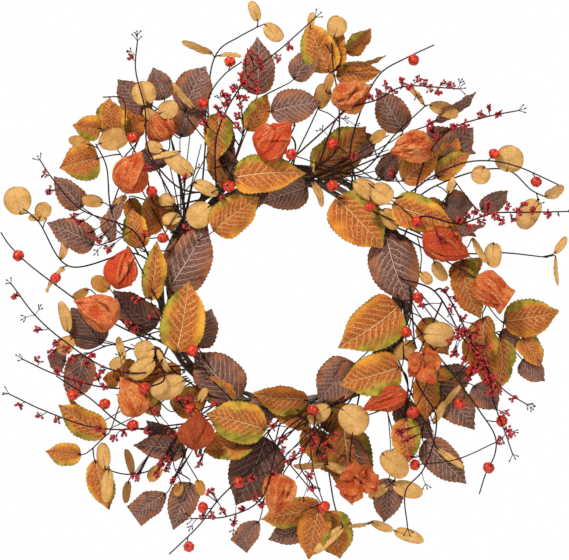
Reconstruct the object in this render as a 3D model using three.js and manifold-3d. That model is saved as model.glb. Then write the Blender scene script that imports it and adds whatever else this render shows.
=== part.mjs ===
// Harvest door wreath: a ring of twisted grapevine canes with wired autumn picks, and a wire hanging loop.
// Millimetres, +Z up, front faces -Y. The origin is the hook's seat, the inner top of the hanging loop.
// Inside the wreath group, the origin is the centre of the ring: x to the right, z up, f forward (f = -y).
import * as THREE from "three";
import { mergeVertices } from "three/addons/utils/BufferGeometryUtils.js";
import Module from "manifold-3d";

const wasm = await Module();
wasm.setup();

// Driving dimensions
const RING_RADIUS = 127; // middle of the bundle of canes
const BUNDLE_RADIUS = 8; // middle of each cane, from the middle of the bundle
const CANE_RADIUS = 2.6;
const CANE_COUNT = 5;
const CANE_STEPS = 30;
const CANE_TURNS = 3; // turns that each cane makes in the bundle, once round the ring
const TIE_WIRE_RADIUS = 0.7;
const EYE_WIRE_RADIUS = 0.8;
const TIE_ANGLES = [24, 152, 262]; // degrees round the ring
const EYE_RADIUS = 3.2; // middle of the hanger eye's wire
const LOOP_WIRE_RADIUS = 1;
const LOOP_HEIGHT = 38; // from the hinge to the hook's seat
const LOOP_WIDTH = 24;
const BACK_CLEARANCE = 3; // from the bundle's back to the hinge
const HUB_FRONT = 14.6; // where a pick's stem starts, in front of the bundle's middle
const HUB_REACH = 14; // how far a stem runs in its first direction
const STEM_RADIUS = 1.1;
const TWIG_RADIUS = 0.8;
const LEAF_THICKNESS = 0.8;
const HUSK_FLATNESS = 0.78; // depth over width
const FRUIT_RADIUS = 6.5;
const CLUSTER_RADIUS = 4.5;
const CLEARANCE = 0.35; // between pieces that meet
const MIDRIB = 0.1; // how far a stem runs into its leaf, over the leaf's length
const SMALLEST_LEAF = 13; // narrower leaflets are left out here
const STEM_BENDS = [0, 4, -4, 8, -8, 12, -12, 18, -18, 26, 34]; // forward bends of a stem
const STEM_STEP = 52; // between the corners of a stem
const BRANCH_STEP = 8; // between the places on a stem where a branch may leave it
const BRANCH_BACK = 0.6; // how far back a branch leaves, over its distance from the stem
const TIE_GAP = 0.8; // between a ring of wire and the canes
const LOOP_BAR = 10; // straight bottom of the loop
const LOOP_SHOULDERS = 18; // across the loop, SHOULDER_RISE above its bottom
const SHOULDER_RISE = 4;
const RING_LANES = [-7, 0, 7]; // where stems start across the bundle, in turn
const HUB_SPREAD = 0.25; // how far a stem's first direction turns outward, over its run along the ring
const HUB_LEAN = 0.5; // and how far forward
const STEM_LEAN = 0.06; // how far a stem keeps its first direction, over its length
const STEM_RUN = 0.4; // where that bend is, over the stem's length
const STEM_APPROACH = 7; // how far before its end a stem takes its last direction, at most
const APPROACH_SHARE = 0.3; // and over its length
// A pointed leaf's bends: how far along it, over its length, and how wide, over half its width.
const LEAF_BASE_BEND = [0, 1.3];
const LEAF_TIP_BEND = [0.7, 1.3];
// A husk's outline from its stem to its beak: [radius over half its width, place over its length].
const HUSK_PROFILE = [[0, 0], [0.75, 0.1], [1, 0.42], [0.6, 0.82], [0, 1]];

// Fineness
const CANE_SIDES = 4;
const WIRE_SIDES = 4;
const TIE_STEPS = 16;
const EYE_STEPS = 12;
const LOOP_SIDES = 5;
const LOOP_STEPS = 24;
const LOOP_ARC_STEP = 22.5; // degrees
const STEM_SIDES = 3;
const LEAF_STEPS = 3; // along each bend of its outline
const HUSK_SIDES = 8;
const FRUIT_SIDES = 6;
const FRUIT_ROWS = 4;
const WELD = 1e-4; // vertices closer than this are one
const SMALLEST_DETAIL = 0.03; // finer slivers, left by cuts, are merged away
const CLEAR_VOLUME = 1e-4; // a meeting smaller than this is none
const LEAF_SHARE = 0.01; // how much a stem's meeting with a leaf counts against one with a stem or body

const TIE_RADIUS = BUNDLE_RADIUS + CANE_RADIUS + TIE_WIRE_RADIUS + TIE_GAP;
const RING_Y = -(BUNDLE_RADIUS + CANE_RADIUS + BACK_CLEARANCE + LOOP_WIRE_RADIUS);
const EYE_REACH = TIE_RADIUS + EYE_RADIUS; // from the bundle's middle to the hinge
const EYE_RISE = Math.sqrt(EYE_REACH ** 2 - RING_Y ** 2);
const RING_Z = -(LOOP_HEIGHT + EYE_RISE + RING_RADIUS);

const COLOURS = {
  cane: [0x4a3428, 0.9, 0],
  wire: [0x2b2420, 0.5, 0.6],
  orange_leaf: [0xd9822b, 0.75, 0],
  brown_leaf: [0x8e6a5c, 0.8, 0],
  eucalyptus: [0xcda55c, 0.8, 0],
  husk: [0xd4582a, 0.7, 0],
  pumpkin: [0xd8321e, 0.25, 0],
  berry: [0xb02a35, 0.4, 0],
};

// Leaves: [base x, z, tip x, z, f at the base, rise of the tip, width, roll in degrees].
// Each pick: the place of its stem on the ring in degrees, its own stems if any ([x, z, f] points), and its
// leaves.
const ORANGE = [
  { at: 163, leaves: [[-198, 175, -228, 178, 24, 6, 28, 0], [-186, 168, -190, 208, 20, 6, 38, 20],
    [-160, 164, -172, 192, 16, 0, 34, 30], [-200, 143, -242, 132, 26, 8, 42, 10],
    [-156, 45, -165, 88, 30, 6, 30, 20], [-77, 64, -28, 100, 26, 6, 42, 10],
    [-150, 60, -140, 112, 14, 4, 30, 30], [-168, 100, -152, 66, 12, 2, 22, 20],
    [-172, 205, -134, 168, 12, 2, 26, 20]] },
  { at: 122, leaves: [[-55, 122, 22, 126, 36, 8, 42, 5], [-41, 172, -19, 211, 28, 4, 27, 10],
    [-70, 192, -73, 141, 26, 4, 32, 10], [-130, 96, -122, 62, 14, 2, 24, 30],
    [-62, 110, -84, 160, 16, 2, 20, 40]] },
  { at: 88, leaves: [[48, 235, 25, 289, 18, 8, 40, 10], [52, 237, 57, 288, 14, 4, 28, 15],
    [66, 256, 94, 281, 16, 4, 26, 40], [62, 242, 109, 251, 24, 6, 12, 50],
    [55, 232, 104, 237, 12, 2, 26, 10], [30, 128, 88, 176, 16, 4, 56, 35],
    [126, 119, 166, 150, 24, 6, 30, 10], [163, 122, 200, 150, 20, 4, 24, 10],
    [176, 146, 182, 171, 14, 2, 22, 10], [116, 150, 150, 132, 14, 2, 26, 20]] },
  { at: 48, leaves: [[115, 93, 181, 72, 36, 6, 40, 5], [55, 101, 106, 47, 20, 6, 56, 10],
    [192, 34, 196, 1, 26, 4, 34, 20], [188, 26, 208, -30, 34, 8, 32, 25],
    [235, -33, 294, -22, 26, 8, 42, 10], [256, -50, 277, -82, 18, 4, 26, 10],
    [212, -27, 222, -97, 34, 4, 44, 45], [232, -50, 230, -107, 30, 4, 34, 40],
    [184, 10, 214, 36, 14, 2, 26, 20], [150, 96, 206, 58, 12, 2, 30, 30]] },
  { at: 354, leaves: [[123, -17, 58, -61, 30, 8, 54, 5], [124, -82, 59, -101, 36, 8, 46, 5],
    [150, -92, 152, -140, 26, 4, 30, 10], [130, -136, 133, -184, 34, 4, 32, 10],
    [64, -146, 74, -227, 14, 0, 54, 20], [196, -50, 236, -112, 14, 2, 34, 25],
    [152, -84, 206, -144, 12, 2, 40, 20], [148, -30, 176, -70, 12, 2, 30, 20]] },
  { at: 284, leaves: [[25, -118, -34, -112, 20, 4, 36, 30], [-20, -149, -84, -132, 38, 8, 46, 5],
    [-34, -166, -88, -172, 24, 2, 38, 25], [-50, -119, -81, -90, 36, 6, 12, 55],
    [38, -230, -26, -246, 30, 4, 36, 30], [36, -234, 25, -287, 34, 8, 36, 10],
    [44, -236, 60, -287, 30, 6, 42, 10], [40, -148, 74, -122, 14, 2, 30, 20],
    [20, -150, 60, -200, 12, 0, 34, 20], [-10, -120, 28, -150, 12, 0, 30, 20]] },
  { at: 226, leaves: [[-116, -66, -103, 10, 34, 8, 48, 5], [-144, -10, -136, 53, 28, 8, 28, 25],
    [-178, -96, -196, -94, 26, 4, 18, 10], [-112, -90, -168, -84, 20, 2, 28, 10],
    [-193, -155, -243, -122, 24, 6, 34, 15], [-200, -150, -238, -111, 18, 4, 10, 30],
    [-219, -176, -257, -173, 28, 6, 26, 10], [-205, -182, -189, -235, 22, 6, 30, 10],
    [-180, -78, -148, -106, 14, 2, 30, 20], [-152, -110, -136, -136, 14, 2, 24, 20],
    [-120, -130, -80, -100, 12, 2, 34, 20]] },
];
const BROWN = [
  { at: 170, leaves: [[-218, 90, -249, 123, 18, 6, 28, 10], [-190, 54, -172, 106, 30, 6, 26, 45],
    [-205, 50, -256, 73, 24, 6, 34, 10], [-150, 188, -180, 228, 16, 4, 34, 10],
    [-130, 206, -142, 241, 18, 4, 28, 10], [-112, 166, -106, 200, 14, 2, 26, 10],
    [-150, 176, -176, 200, 10, 2, 28, 20], [-128, 150, -160, 132, 10, 2, 30, 20]] },
  { at: 115, leaves: [[-108, 194, -86, 242, 22, 6, 42, 10], [-30, 211, -29, 273, 20, 6, 36, 10],
    [-16, 193, 38, 203, 30, 6, 38, 10], [9, 228, 37, 262, 16, 4, 28, 10],
    [-96, 206, -112, 168, 12, 2, 34, 20], [-76, 150, -44, 118, 14, 2, 30, 20],
    [-66, 176, -60, 132, 12, 2, 28, 30], [-20, 120, -62, 84, 12, 2, 34, 20]] },
  { at: 75, leaves: [[25, 112, -25, 95, 12, 2, 36, 20], [127, 172, 101, 215, 22, 6, 36, 10],
    [160, 181, 206, 213, 26, 6, 22, 60], [150, 166, 206, 149, 12, 2, 32, 10],
    [211, 87, 240, 108, 20, 4, 22, 10], [172, 94, 203, 92, 14, 2, 34, 10],
    [178, 56, 214, 72, 22, 4, 16, 40], [109, 62, 134, -13, 16, 4, 54, 5],
    [70, 150, 100, 168, 12, 2, 30, 20], [104, 120, 124, 152, 14, 2, 26, 20],
    [160, 140, 204, 176, 10, 2, 40, 20], [70, 90, 104, 60, 12, 0, 30, 20]] },
  { at: 346, leaves: [[76, -78, 36, -119, 12, 2, 46, 10], [166, -102, 206, -148, 22, 4, 40, 10],
    [203, -102, 229, -128, 16, 4, 30, 10], [149, -162, 195, -207, 26, 6, 36, 5],
    [112, -202, 107, -249, 20, 4, 34, 10], [232, -44, 256, -60, 12, 2, 20, 10],
    [256, -74, 280, -98, 14, 2, 26, 10], [78, -80, 52, -118, 12, 0, 36, 20],
    [160, -96, 204, -88, 12, 2, 34, 20], [120, -120, 160, -160, 10, 2, 34, 20]] },
  { at: 277, leaves: [[-50, -118, -97, -66, 12, 4, 52, 5], [-20, -158, -52, -232, 16, 2, 58, 10],
    [-28, -248, -50, -275, 20, 4, 26, 5], [32, -246, -18, -268, 20, 2, 30, 10],
    [-14, -120, -56, -150, 12, 0, 36, 20], [60, -160, 96, -214, 10, 0, 34, 20]] },
  { at: 234, leaves: [[-126, 2, -84, 73, 16, 6, 54, 5], [-140, -40, -186, 0, 14, 2, 44, 30],
    [-198, -58, -230, -18, 20, 2, 42, 15], [-236, -76, -256, -72, 16, 2, 26, 0],
    [-217, -68, -230, -119, 24, 6, 34, 5], [-109, -172, -163, -166, 22, 4, 28, 5],
    [-128, -218, -162, -243, 24, 4, 30, 5], [-102, -206, -119, -257, 26, 4, 32, 5],
    [-150, -60, -130, -112, 12, 2, 34, 20], [-110, -180, -150, -140, 10, 2, 30, 20],
    [-100, -60, -78, -20, 10, 0, 34, 20]] },
];
const EUCALYPTUS = [
  { at: 177, stems: [[[-160, 40, 30], [-233, 27, 30], [-266, 76, 34], [-286, 92, 34]],
    [[-165, 52, 26], [-186, 85, 32], [-192, 135, 36], [-203, 158, 38]]],
    leaves: [[-284, 82, -290, 112, 34, 2, 30, 0], [-264, 78, -256, 95, 32, 2, 18, 10],
    [-256, 78, -276, 79, 30, 2, 10, 30], [-241, 33, -236, 57, 30, 2, 9, 20],
    [-238, 26, -258, 0, 28, 4, 18, 65], [-200, 158, -168, 167, 38, 2, 24, 5],
    [-210, 157, -232, 163, 36, 2, 13, 10], [-195, 95, -218, 98, 30, 2, 14, 10],
    [-183, 92, -170, 102, 34, 2, 8, 0]] },
  { at: 156, stems: [[[-110, 96, 30], [-118, 140, 32], [-130, 188, 36], [-148, 203, 38]]],
    leaves: [[-80, 92, -103, 72, 26, 2, 28, 0], [-112, 80, -132, 76, 28, 2, 14, 10],
    [-119, 93, -135, 101, 28, 2, 17, 0], [-98, 117, -72, 104, 26, 2, 15, 10],
    [-99, 125, -130, 149, 34, 4, 18, 5], [-112, 150, -146, 143, 36, 2, 7, 30],
    [-131, 152, -150, 158, 38, 2, 13, 0], [-148, 200, -154, 225, 36, 2, 27, 0],
    [-135, 190, -115, 200, 42, 2, 20, 10], [-139, 186, -152, 194, 34, 2, 12, 0]] },
  { at: 108, stems: [[[-74, 150, 22], [-80, 235, 30], [-70, 260, 30], [-50, 273, 28], [-28, 285, 26]]],
    leaves: [[-98, 196, -121, 223, 34, 2, 10, 40], [-78, 255, -111, 268, 28, 2, 10, 40],
    [-72, 253, -47, 253, 34, 2, 8, 50], [-29, 290, -37, 312, 26, 2, 12, 0],
    [-22, 287, -3, 270, 30, 2, 17, 0]] },
  { at: 81, stems: [[[54, 150, 28], [58, 200, 32], [52, 240, 30], [50, 272, 28]],
    [[80, 128, 22], [120, 170, 30], [152, 200, 32]]],
    leaves: [[30, 118, 41, 91, 22, 2, 10, 30], [31, 125, 30, 154, 24, 2, 6, 60],
    [74, 118, 100, 100, 30, 2, 20, 0], [94, 112, 115, 98, 34, 2, 24, 0],
    [92, 160, 108, 172, 28, 2, 12, 0], [150, 200, 134, 218, 32, 2, 7, 30],
    [155, 200, 186, 188, 34, 2, 16, 0], [36, 196, 44, 223, 26, 2, 20, 20],
    [44, 214, 50, 234, 30, 2, 10, 0], [27, 284, 30, 300, 24, 2, 8, 0], [53, 273, 57, 296, 28, 2, 22, 0]] },
  { at: 41, stems: [[[160, 112, 28], [218, 131, 34], [243, 128, 36], [265, 108, 36], [282, 100, 36]],
    [[140, 60, 26], [190, 41, 34], [235, 41, 36], [282, 36, 34]]],
    leaves: [[238, 128, 244, 156, 38, 2, 31, 0], [214, 134, 207, 115, 36, 2, 21, 0],
    [279, 101, 299, 112, 38, 2, 14, 30], [271, 98, 253, 67, 36, 2, 24, 0],
    [224, 52, 224, 25, 37, 2, 19, 0], [201, 57, 216, 30, 40, 2, 8, 30],
    [289, 40, 302, 58, 36, 2, 9, 20], [290, 38, 292, 6, 34, 2, 6, 50],
    [175, 105, 181, 122, 36, 2, 8, 0], [160, 32, 173, 11, 30, 2, 14, 10],
    [146, 20, 157, 8, 30, 2, 12, 0], [104, 88, 121, 67, 30, 2, 18, 0]] },
  { at: 330, stems: [[[130, -90, 20], [128, -140, 24], [120, -180, 28], [118, -208, 28]],
    [[136, -110, 24], [160, -130, 30]],
    [[70, -118, 22], [46, -160, 26], [48, -200, 28], [60, -246, 28], [76, -252, 28], [95, -249, 28],
      [118, -258, 26]]],
    leaves: [[148, -46, 182, -47, 42, 2, 27, 0], [140, -55, 117, -71, 30, 2, 18, 10],
    [104, -174, 130, -198, 38, 2, 26, 5], [116, -208, 148, -218, 32, 2, 18, 0],
    [110, -210, 90, -222, 28, 2, 12, 0], [170, -125, 189, -101, 34, 2, 7, 20],
    [160, -143, 172, -118, 34, 2, 9, 20], [163, -169, 192, -189, 38, 2, 9, 30],
    [60, -126, 86, -150, 34, 2, 32, 0], [48, -124, 26, -141, 30, 2, 20, 0],
    [44, -187, 9, -190, 28, 2, 9, 30], [44, -186, 70, -196, 28, 2, 11, 20],
    [62, -253, 31, -281, 42, 2, 12, 10], [92, -248, 116, -257, 30, 2, 10, 10],
    [118, -258, 149, -269, 28, 2, 14, 10], [92, -250, 68, -253, 28, 2, 6, 40]] },
  { at: 241, stems: [[[-112, -92, 26], [-136, -72, 30], [-165, -62, 34], [-176, -70, 36]],
    [[-110, -150, 24], [-140, -190, 30], [-168, -197, 32], [-192, -192, 34]]],
    leaves: [[-140, -62, -162, -66, 38, 2, 24, 0], [-140, -74, -167, -92, 42, 2, 20, 0],
    [-172, -73, -179, -49, 38, 2, 9, 0], [-172, -72, -188, -82, 38, 2, 12, 0],
    [-108, -96, -144, -110, 32, 2, 26, 0], [-124, -87, -137, -63, 34, 2, 8, 20],
    [-193, -191, -196, -163, 36, 2, 15, 0], [-189, -192, -192, -227, 38, 2, 14, 10],
    [-164, -198, -171, -170, 30, 2, 9, 0], [-168, -204, -171, -228, 30, 2, 9, 0],
    [-133, -188, -146, -204, 32, 2, 14, 0], [-94, -203, -89, -220, 30, 2, 11, 0],
    [-112, -206, -117, -220, 36, 2, 10, 0], [-92, -119, -84, -104, 36, 2, 9, 0],
    [-188, 2, -207, 14, 34, 2, 18, 10], [-211, 2, -228, -7, 32, 2, 10, 20],
    [-233, -44, -241, -11, 34, 2, 13, 10], [-228, -50, -243, -66, 36, 2, 18, 0]] },
];
// Husks: [base x, z, tip x, z, f, width, place of its stem on the ring in degrees].
const HUSKS = [
  [-153, 150, -172, 105, 48, 40, 149], [-169, 47, -180, 2, 46, 36, 200],
  [-123, 164, -145, 194, 30, 36, 143], [10, 178, -28, 145, 48, 41, 102],
  [92, 221, 50, 202, 50, 38, 95], [112, 148, 158, 160, 46, 36, 68],
  [147, 60, 197, 34, 50, 38, 55], [204, 14, 240, -10, 46, 36, 35],
  [140, -60, 157, -96, 52, 36, 6], [131, -109, 82, -127, 40, 26, 339],
  [70, -184, 85, -225, 46, 44, 311], [-2, -196, -12, -243, 50, 38, 297],
  [-92, -129, -98, -170, 50, 40, 256], [-173, -90, -156, -134, 48, 33, 219],
  [-178, -30, -226, -9, 50, 40, 209],
];
const PUMPKINS = [
  { at: 213, stems: [
    [[-150, -50, 30], [-196, -28, 34], [-240, 2, 36], [-280, 33, 36], [-298, 52, 36], [-305, 63, 36]]],
    fruit: [[-286, 38, 38], [-246, 14, 40]] },
  { at: 137, stems: [
    [[-138, 92, 34], [-150, 130, 40], [-170, 168, 44], [-174, 206, 42], [-195, 208, 40]],
    [[-86, 150, 30], [-82, 207, 38], [-65, 232, 40], [-46, 246, 40]]],
    fruit: [[-131, 57, 36], [-143, 107, 40], [-163, 164, 46], [-88, 201, 40], [-59, 246, 42],
      [-60, 112, 42]] },
  { at: 62, stems: [
    [[70, 150, 32], [84, 200, 36], [103, 234, 38], [130, 250, 38], [160, 264, 38]],
    [[120, 100, 36], [160, 124, 42], [195, 138, 44], [225, 139, 44], [250, 133, 44], [293, 114, 42]]],
    fruit: [[138, 248, 38], [7, 146, 52], [51, 158, 40], [51, 113, 38], [91, 90, 44], [141, 74, 50],
      [224, 147, 46], [269, 117, 46]] },
  { at: 1, stems: [
    [[150, -50, 34], [188, -100, 46], [208, -128, 48], [225, -156, 48], [225, -173, 48], [214, -198, 48],
      [208, -217, 48]]],
    fruit: [[218, -189, 48], [232, -139, 50], [187, -121, 50], [199, -85, 52], [143, -7, 36], [130, -44, 44],
      [137, -130, 46], [139, -186, 50]] },
  { at: 290, stems: [
    [[-12, -170, 40], [-69, -221, 42], [-92, -251, 42], [-124, -282, 42]]],
    fruit: [[-103, -274, 42], [-88, -232, 42], [-49, -205, 42], [42, -231, 48], [30, -128, 38]] },
  { at: 249, stems: [
    [[-110, -146, 32], [-169, -145, 42], [-210, -114, 46], [-245, -91, 46]]],
    fruit: [[-227, -111, 48], [-193, -121, 46], [-163, -144, 46], [-150, -104, 56], [-99, -64, 44],
      [-102, -126, 44]] },
];
const BERRIES = [
  { at: 205, stems: [
    [[-140, -84, 40], [-186, -84, 48], [-238, -52, 52], [-267, -26, 52], [-293, 8, 50]],
    [[-130, -96, 44], [-183, -104, 50], [-245, -89, 54], [-280, -73, 54]]],
    fruit: [[-287, -5, 52], [-263, -42, 52], [-244, -55, 54], [-228, -72, 54], [-196, -85, 52],
    [-264, -75, 56], [-242, -86, 56], [-225, -94, 56], [-201, -92, 54], [-192, -102, 54],
    [-168, -35, 44], [-160, -42, 44], [-143, -27, 44]] },
  { at: 262, stems: [[[-107, -142, 44], [-197, -147, 50], [-257, -128, 52], [-295, -110, 52]]],
    fruit: [[-284, -122, 52], [-262, -134, 52], [-244, -138, 52], [-199, -148, 52], [-182, -156, 50],
    [-120, -152, 48], [-115, -118, 46], [-137, -130, 46], [-123, -182, 46], [-128, -190, 46],
    [-92, -173, 46], [-120, -203, 46], [-159, -199, 42], [-75, -122, 44]] },
  { at: 184, stems: [[[-160, 62, 40], [-219, 88, 48], [-250, 122, 50], [-262, 140, 50]]],
    fruit: [[-257, 125, 50], [-251, 107, 50], [-219, 74, 50], [-210, 62, 50], [-190, 45, 56],
    [-160, -8, 48], [-108, 66, 40]] },
  { at: 129, stems: [
    [[-112, 110, 30], [-146, 150, 40], [-150, 195, 44], [-160, 238, 46], [-158, 268, 46]],
    [[-72, 170, 44], [-40, 228, 50], [0, 263, 50], [33, 293, 48]],
    [[-56, 140, 46], [-45, 170, 48], [-50, 215, 48]]],
    fruit: [[-165, 251, 48], [-38, 254, 52], [-42, 245, 52], [-26, 239, 52], [-32, 225, 52],
    [-45, 222, 52], [-38, 215, 52], [-55, 217, 52], [-60, 208, 52], [-68, 187, 50], [-86, 180, 48],
    [-47, 197, 52], [-8, 249, 52], [4, 261, 52], [-66, 100, 40], [-146, 132, 52]] },
  { at: 82, stems: [[[60, 190, 52], [100, 205, 56], [125, 218, 56], [187, 216, 54]]],
    fruit: [[98, 213, 58], [115, 214, 58], [125, 223, 58], [142, 226, 58], [155, 217, 58],
    [170, 222, 56], [73, 145, 50]] },
  { at: 29, stems: [[[150, 140, 46], [176, 172, 52], [215, 186, 54], [250, 193, 54]],
    [[150, 80, 54], [185, 72, 60], [222, 83, 60], [255, 84, 58], [302, 85, 56]]],
    fruit: [[157, 172, 52], [192, 178, 54], [209, 188, 56], [228, 190, 56], [202, 85, 60],
    [238, 90, 60], [255, 92, 58], [209, 74, 60], [223, 80, 62], [243, 77, 60], [281, 83, 58],
    [165, 55, 68], [115, 127, 54]] },
  { at: 13, stems: [
    [[160, 0, 40], [190, -50, 52], [216, -84, 58], [222, -115, 58], [236, -154, 58], [243, -174, 58]],
    [[168, 2, 50], [206, -66, 60], [232, -104, 60], [258, -121, 58]],
    [[140, -90, 34], [162, -136, 48], [148, -190, 58], [129, -213, 58], [131, -254, 56]]],
    fruit: [[178, -18, 50], [193, -45, 54], [204, -45, 58], [183, -67, 54], [193, -73, 58],
    [211, -84, 62], [219, -98, 62], [230, -160, 58], [241, -154, 60], [244, -113, 60], [170, 2, 48],
    [180, -8, 52], [147, -15, 44], [205, -36, 60], [213, -60, 62], [181, -67, 52], [122, -150, 60]] },
  { at: 304, stems: [[[0, -150, 44], [-26, -222, 62], [-60, -240, 60], [-99, -243, 58]],
    [[30, -150, 42], [16, -186, 46], [30, -208, 50]]],
    fruit: [[-76, -240, 60], [-55, -246, 60], [-14, -144, 48], [4, -181, 48], [32, -154, 44],
    [52, -155, 44], [-79, -215, 58], [-35, -200, 56], [-31, -221, 62], [30, -210, 52], [-45, -234, 62]] },
];

const rad = THREE.MathUtils.degToRad;
const at = (x, z, f) => new THREE.Vector3(x, -f, z);

// A closed geometry as a solid.
function solidOf(geometry) {
  const bare = new THREE.BufferGeometry().setAttribute("position", geometry.attributes.position);
  bare.setIndex(geometry.index);
  const merged = mergeVertices(bare, WELD);
  return new wasm.Manifold(new wasm.Mesh({
    numProp: 3,
    vertProperties: merged.attributes.position.array,
    triVerts: new Uint32Array(merged.index.array),
  }));
}

function geometryOf(solid) {
  const mesh = solid.getMesh();
  const geometry = new THREE.BufferGeometry();
  geometry.setAttribute("position", new THREE.BufferAttribute(mesh.vertProperties, 3));
  geometry.setIndex(new THREE.BufferAttribute(mesh.triVerts, 1));
  geometry.computeVertexNormals();
  return geometry;
}

// A bar along a smooth curve through the points.
const barCurve = (points, closed = false) => new THREE.CatmullRomCurve3(points, closed, "centripetal");
const barSteps = (points) => Math.ceil(barCurve(points).getLength() / STEM_STEP);
function bar(points, radius, { sides = STEM_SIDES, steps = barSteps(points), closed = false } = {}) {
  const section = new THREE.Shape();
  for (let i = 0; i < sides; i++) {
    const a = (2 * Math.PI * i) / sides;
    section[i ? "lineTo" : "moveTo"](radius * Math.cos(a), radius * Math.sin(a));
  }
  section.closePath();
  const extrudePath = barCurve(points, closed);
  return new THREE.ExtrudeGeometry(section, { steps, extrudePath, bevelEnabled: false });
}

// The frame of a flat leaf: u along it, v across it, n out of its face.
function leafBasis([x0, z0, x1, z1, f, rise, , roll]) {
  const u = at(x1, z1, f + rise).sub(at(x0, z0, f));
  const length = u.length();
  u.normalize();
  const front = new THREE.Vector3(0, -1, 0);
  const v = new THREE.Vector3().crossVectors(front, u).normalize();
  v.applyAxisAngle(u, rad(roll));
  const n = new THREE.Vector3().crossVectors(u, v);
  return { length, matrix: new THREE.Matrix4().makeBasis(u, v, n).setPosition(at(x0, z0, f)) };
}

// A leaf is a plate with a pointed or a round outline; grown by a margin, it is the room that it needs.
function leaf(row, pointed, margin = 0) {
  const { length, matrix } = leafBasis(row);
  const half = row[6] / 2 + margin;
  const outline = new THREE.Shape();
  if (pointed) {
    const [x0, y0] = [LEAF_BASE_BEND[0] * length, LEAF_BASE_BEND[1] * half];
    const [x1, y1] = [LEAF_TIP_BEND[0] * length, LEAF_TIP_BEND[1] * half];
    outline.moveTo(-margin, 0);
    outline.bezierCurveTo(x0, -y0, x1, -y1, length + margin, 0);
    outline.bezierCurveTo(x1, y1, x0, y0, -margin, 0);
  } else {
    outline.absellipse(length / 2, 0, length / 2 + margin, half, 0, 2 * Math.PI);
  }
  const depth = LEAF_THICKNESS + 2 * margin;
  const plate = new THREE.ExtrudeGeometry(outline, { depth, bevelEnabled: false, curveSegments: LEAF_STEPS });
  return plate.translate(0, 0, -depth / 2).applyMatrix4(matrix);
}

const alongAxis = (from, to) => {
  const axis = to.clone().sub(from);
  const up = new THREE.Vector3(0, 1, 0);
  const turn = new THREE.Quaternion().setFromUnitVectors(up, axis.normalize());
  return new THREE.Matrix4().compose(from, turn, new THREE.Vector3(1, 1, 1));
};

// A papery lantern, widest near the stem and drawn in to a point.
function husk([x0, z0, x1, z1, f, width], margin = 0) {
  const from = at(x0, z0, f);
  const to = at(x1, z1, f);
  const length = from.distanceTo(to);
  const points = HUSK_PROFILE.map(([r, t]) => new THREE.Vector2(
    r ? (r * width) / 2 + margin : 0, t * (length + 2 * margin) - margin));
  return new THREE.LatheGeometry(points, HUSK_SIDES).applyMatrix4(alongAxis(from, to)).translate(0, f, 0)
    .scale(1, HUSK_FLATNESS, 1).translate(0, -f, 0);
}

function pumpkin([x, z, f], margin = 0) {
  return new THREE.SphereGeometry(FRUIT_RADIUS + margin, FRUIT_SIDES, FRUIT_ROWS).translate(x, -f, z);
}

// A cluster of berries with its twig is one spindle, from the stem to past the berries.
function berrySpindle(from, end, margin = 0) {
  const reach = end.distanceTo(from) + CLUSTER_RADIUS;
  const radius = CLUSTER_RADIUS + margin;
  const spindle = new THREE.OctahedronGeometry(1, 0).translate(0, 1, 0);
  spindle.scale(radius, reach / 2 + margin, radius).translate(0, -margin, 0);
  return spindle.applyMatrix4(alongAxis(from, end));
}

// A pick's stem starts along the ring, clockwise, and leans forward.
let lane = 0;
function hub(degrees) {
  const a = rad(degrees);
  const r = RING_RADIUS + RING_LANES[lane++ % RING_LANES.length];
  const point = at(r * Math.cos(a), r * Math.sin(a), HUB_FRONT);
  const outward = at(Math.cos(a), Math.sin(a), 0);
  const heading = at(Math.sin(a), -Math.cos(a), HUB_LEAN).addScaledVector(outward, HUB_SPREAD).normalize();
  return { point, heading };
}

// A smooth stem from a place and heading to a base and its direction, then on into what it carries.
function stemPoints({ point, heading }, base, direction, inside) {
  const reach = point.distanceTo(base);
  const approach = Math.min(STEM_APPROACH, APPROACH_SHARE * reach);
  const curve = new THREE.CubicBezierCurve3(
    point,
    point.clone().lerp(base, STEM_RUN).addScaledVector(heading, STEM_LEAN * reach),
    base.clone().addScaledVector(direction, -approach),
    base,
  );
  const count = Math.max(2, Math.round(curve.getLength() / STEM_STEP));
  return [...curve.getPoints(count), base.clone().addScaledVector(direction, inside)];
}

// Places along a stem as its bar runs, each with its heading, for others to branch from.
function placesAlong(points) {
  const corners = barCurve(points).getSpacedPoints(barSteps(points));
  return corners.slice(1).flatMap((end, i) => {
    const start = corners[i];
    const heading = end.clone().sub(start).normalize();
    const count = Math.max(1, Math.round(start.distanceTo(end) / BRANCH_STEP));
    return [...Array(count).keys()].map((k) => ({ point: start.clone().lerp(end, k / count), heading }));
  });
}

// The places where a branch to an end may leave the stems, the best first: a share of its length back.
function branchPlaces(stems, end) {
  let best = { distance: Infinity };
  for (const places of stems) {
    places.forEach(({ point }, index) => {
      const distance = point.distanceTo(end);
      if (distance < best.distance) best = { places, index, distance };
    });
  }
  const index = Math.max(1, best.index - Math.round((BRANCH_BACK * best.distance) / BRANCH_STEP));
  return [0, 1, -1, 2, -2, 3, -3].map((step) => best.places[index + step]).filter(Boolean);
}

// How badly a solid is in the way of hard obstacles, which it may not meet, and of leaves.
function inTheWay(geometry, { hard, leaves }) {
  const solid = solidOf(geometry);
  return solid.intersect(hard).volume() + LEAF_SHARE * solid.intersect(leaves).volume();
}

// The first of several ways that is clear, or else the one least in the way.
function clearest(ways, geometryOfWay, obstacles) {
  let best = { cost: Infinity };
  for (const way of ways) {
    const cost = inTheWay(geometryOfWay(way), obstacles);
    if (cost < best.cost) best = { way, cost };
    if (cost < CLEAR_VOLUME) break;
  }
  return best.way;
}

const bentForward = (points, bend) => points.map((point, i) =>
  point.clone().add(at(0, 0, bend * Math.sin((Math.PI * i) / (points.length - 1)))));

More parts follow.
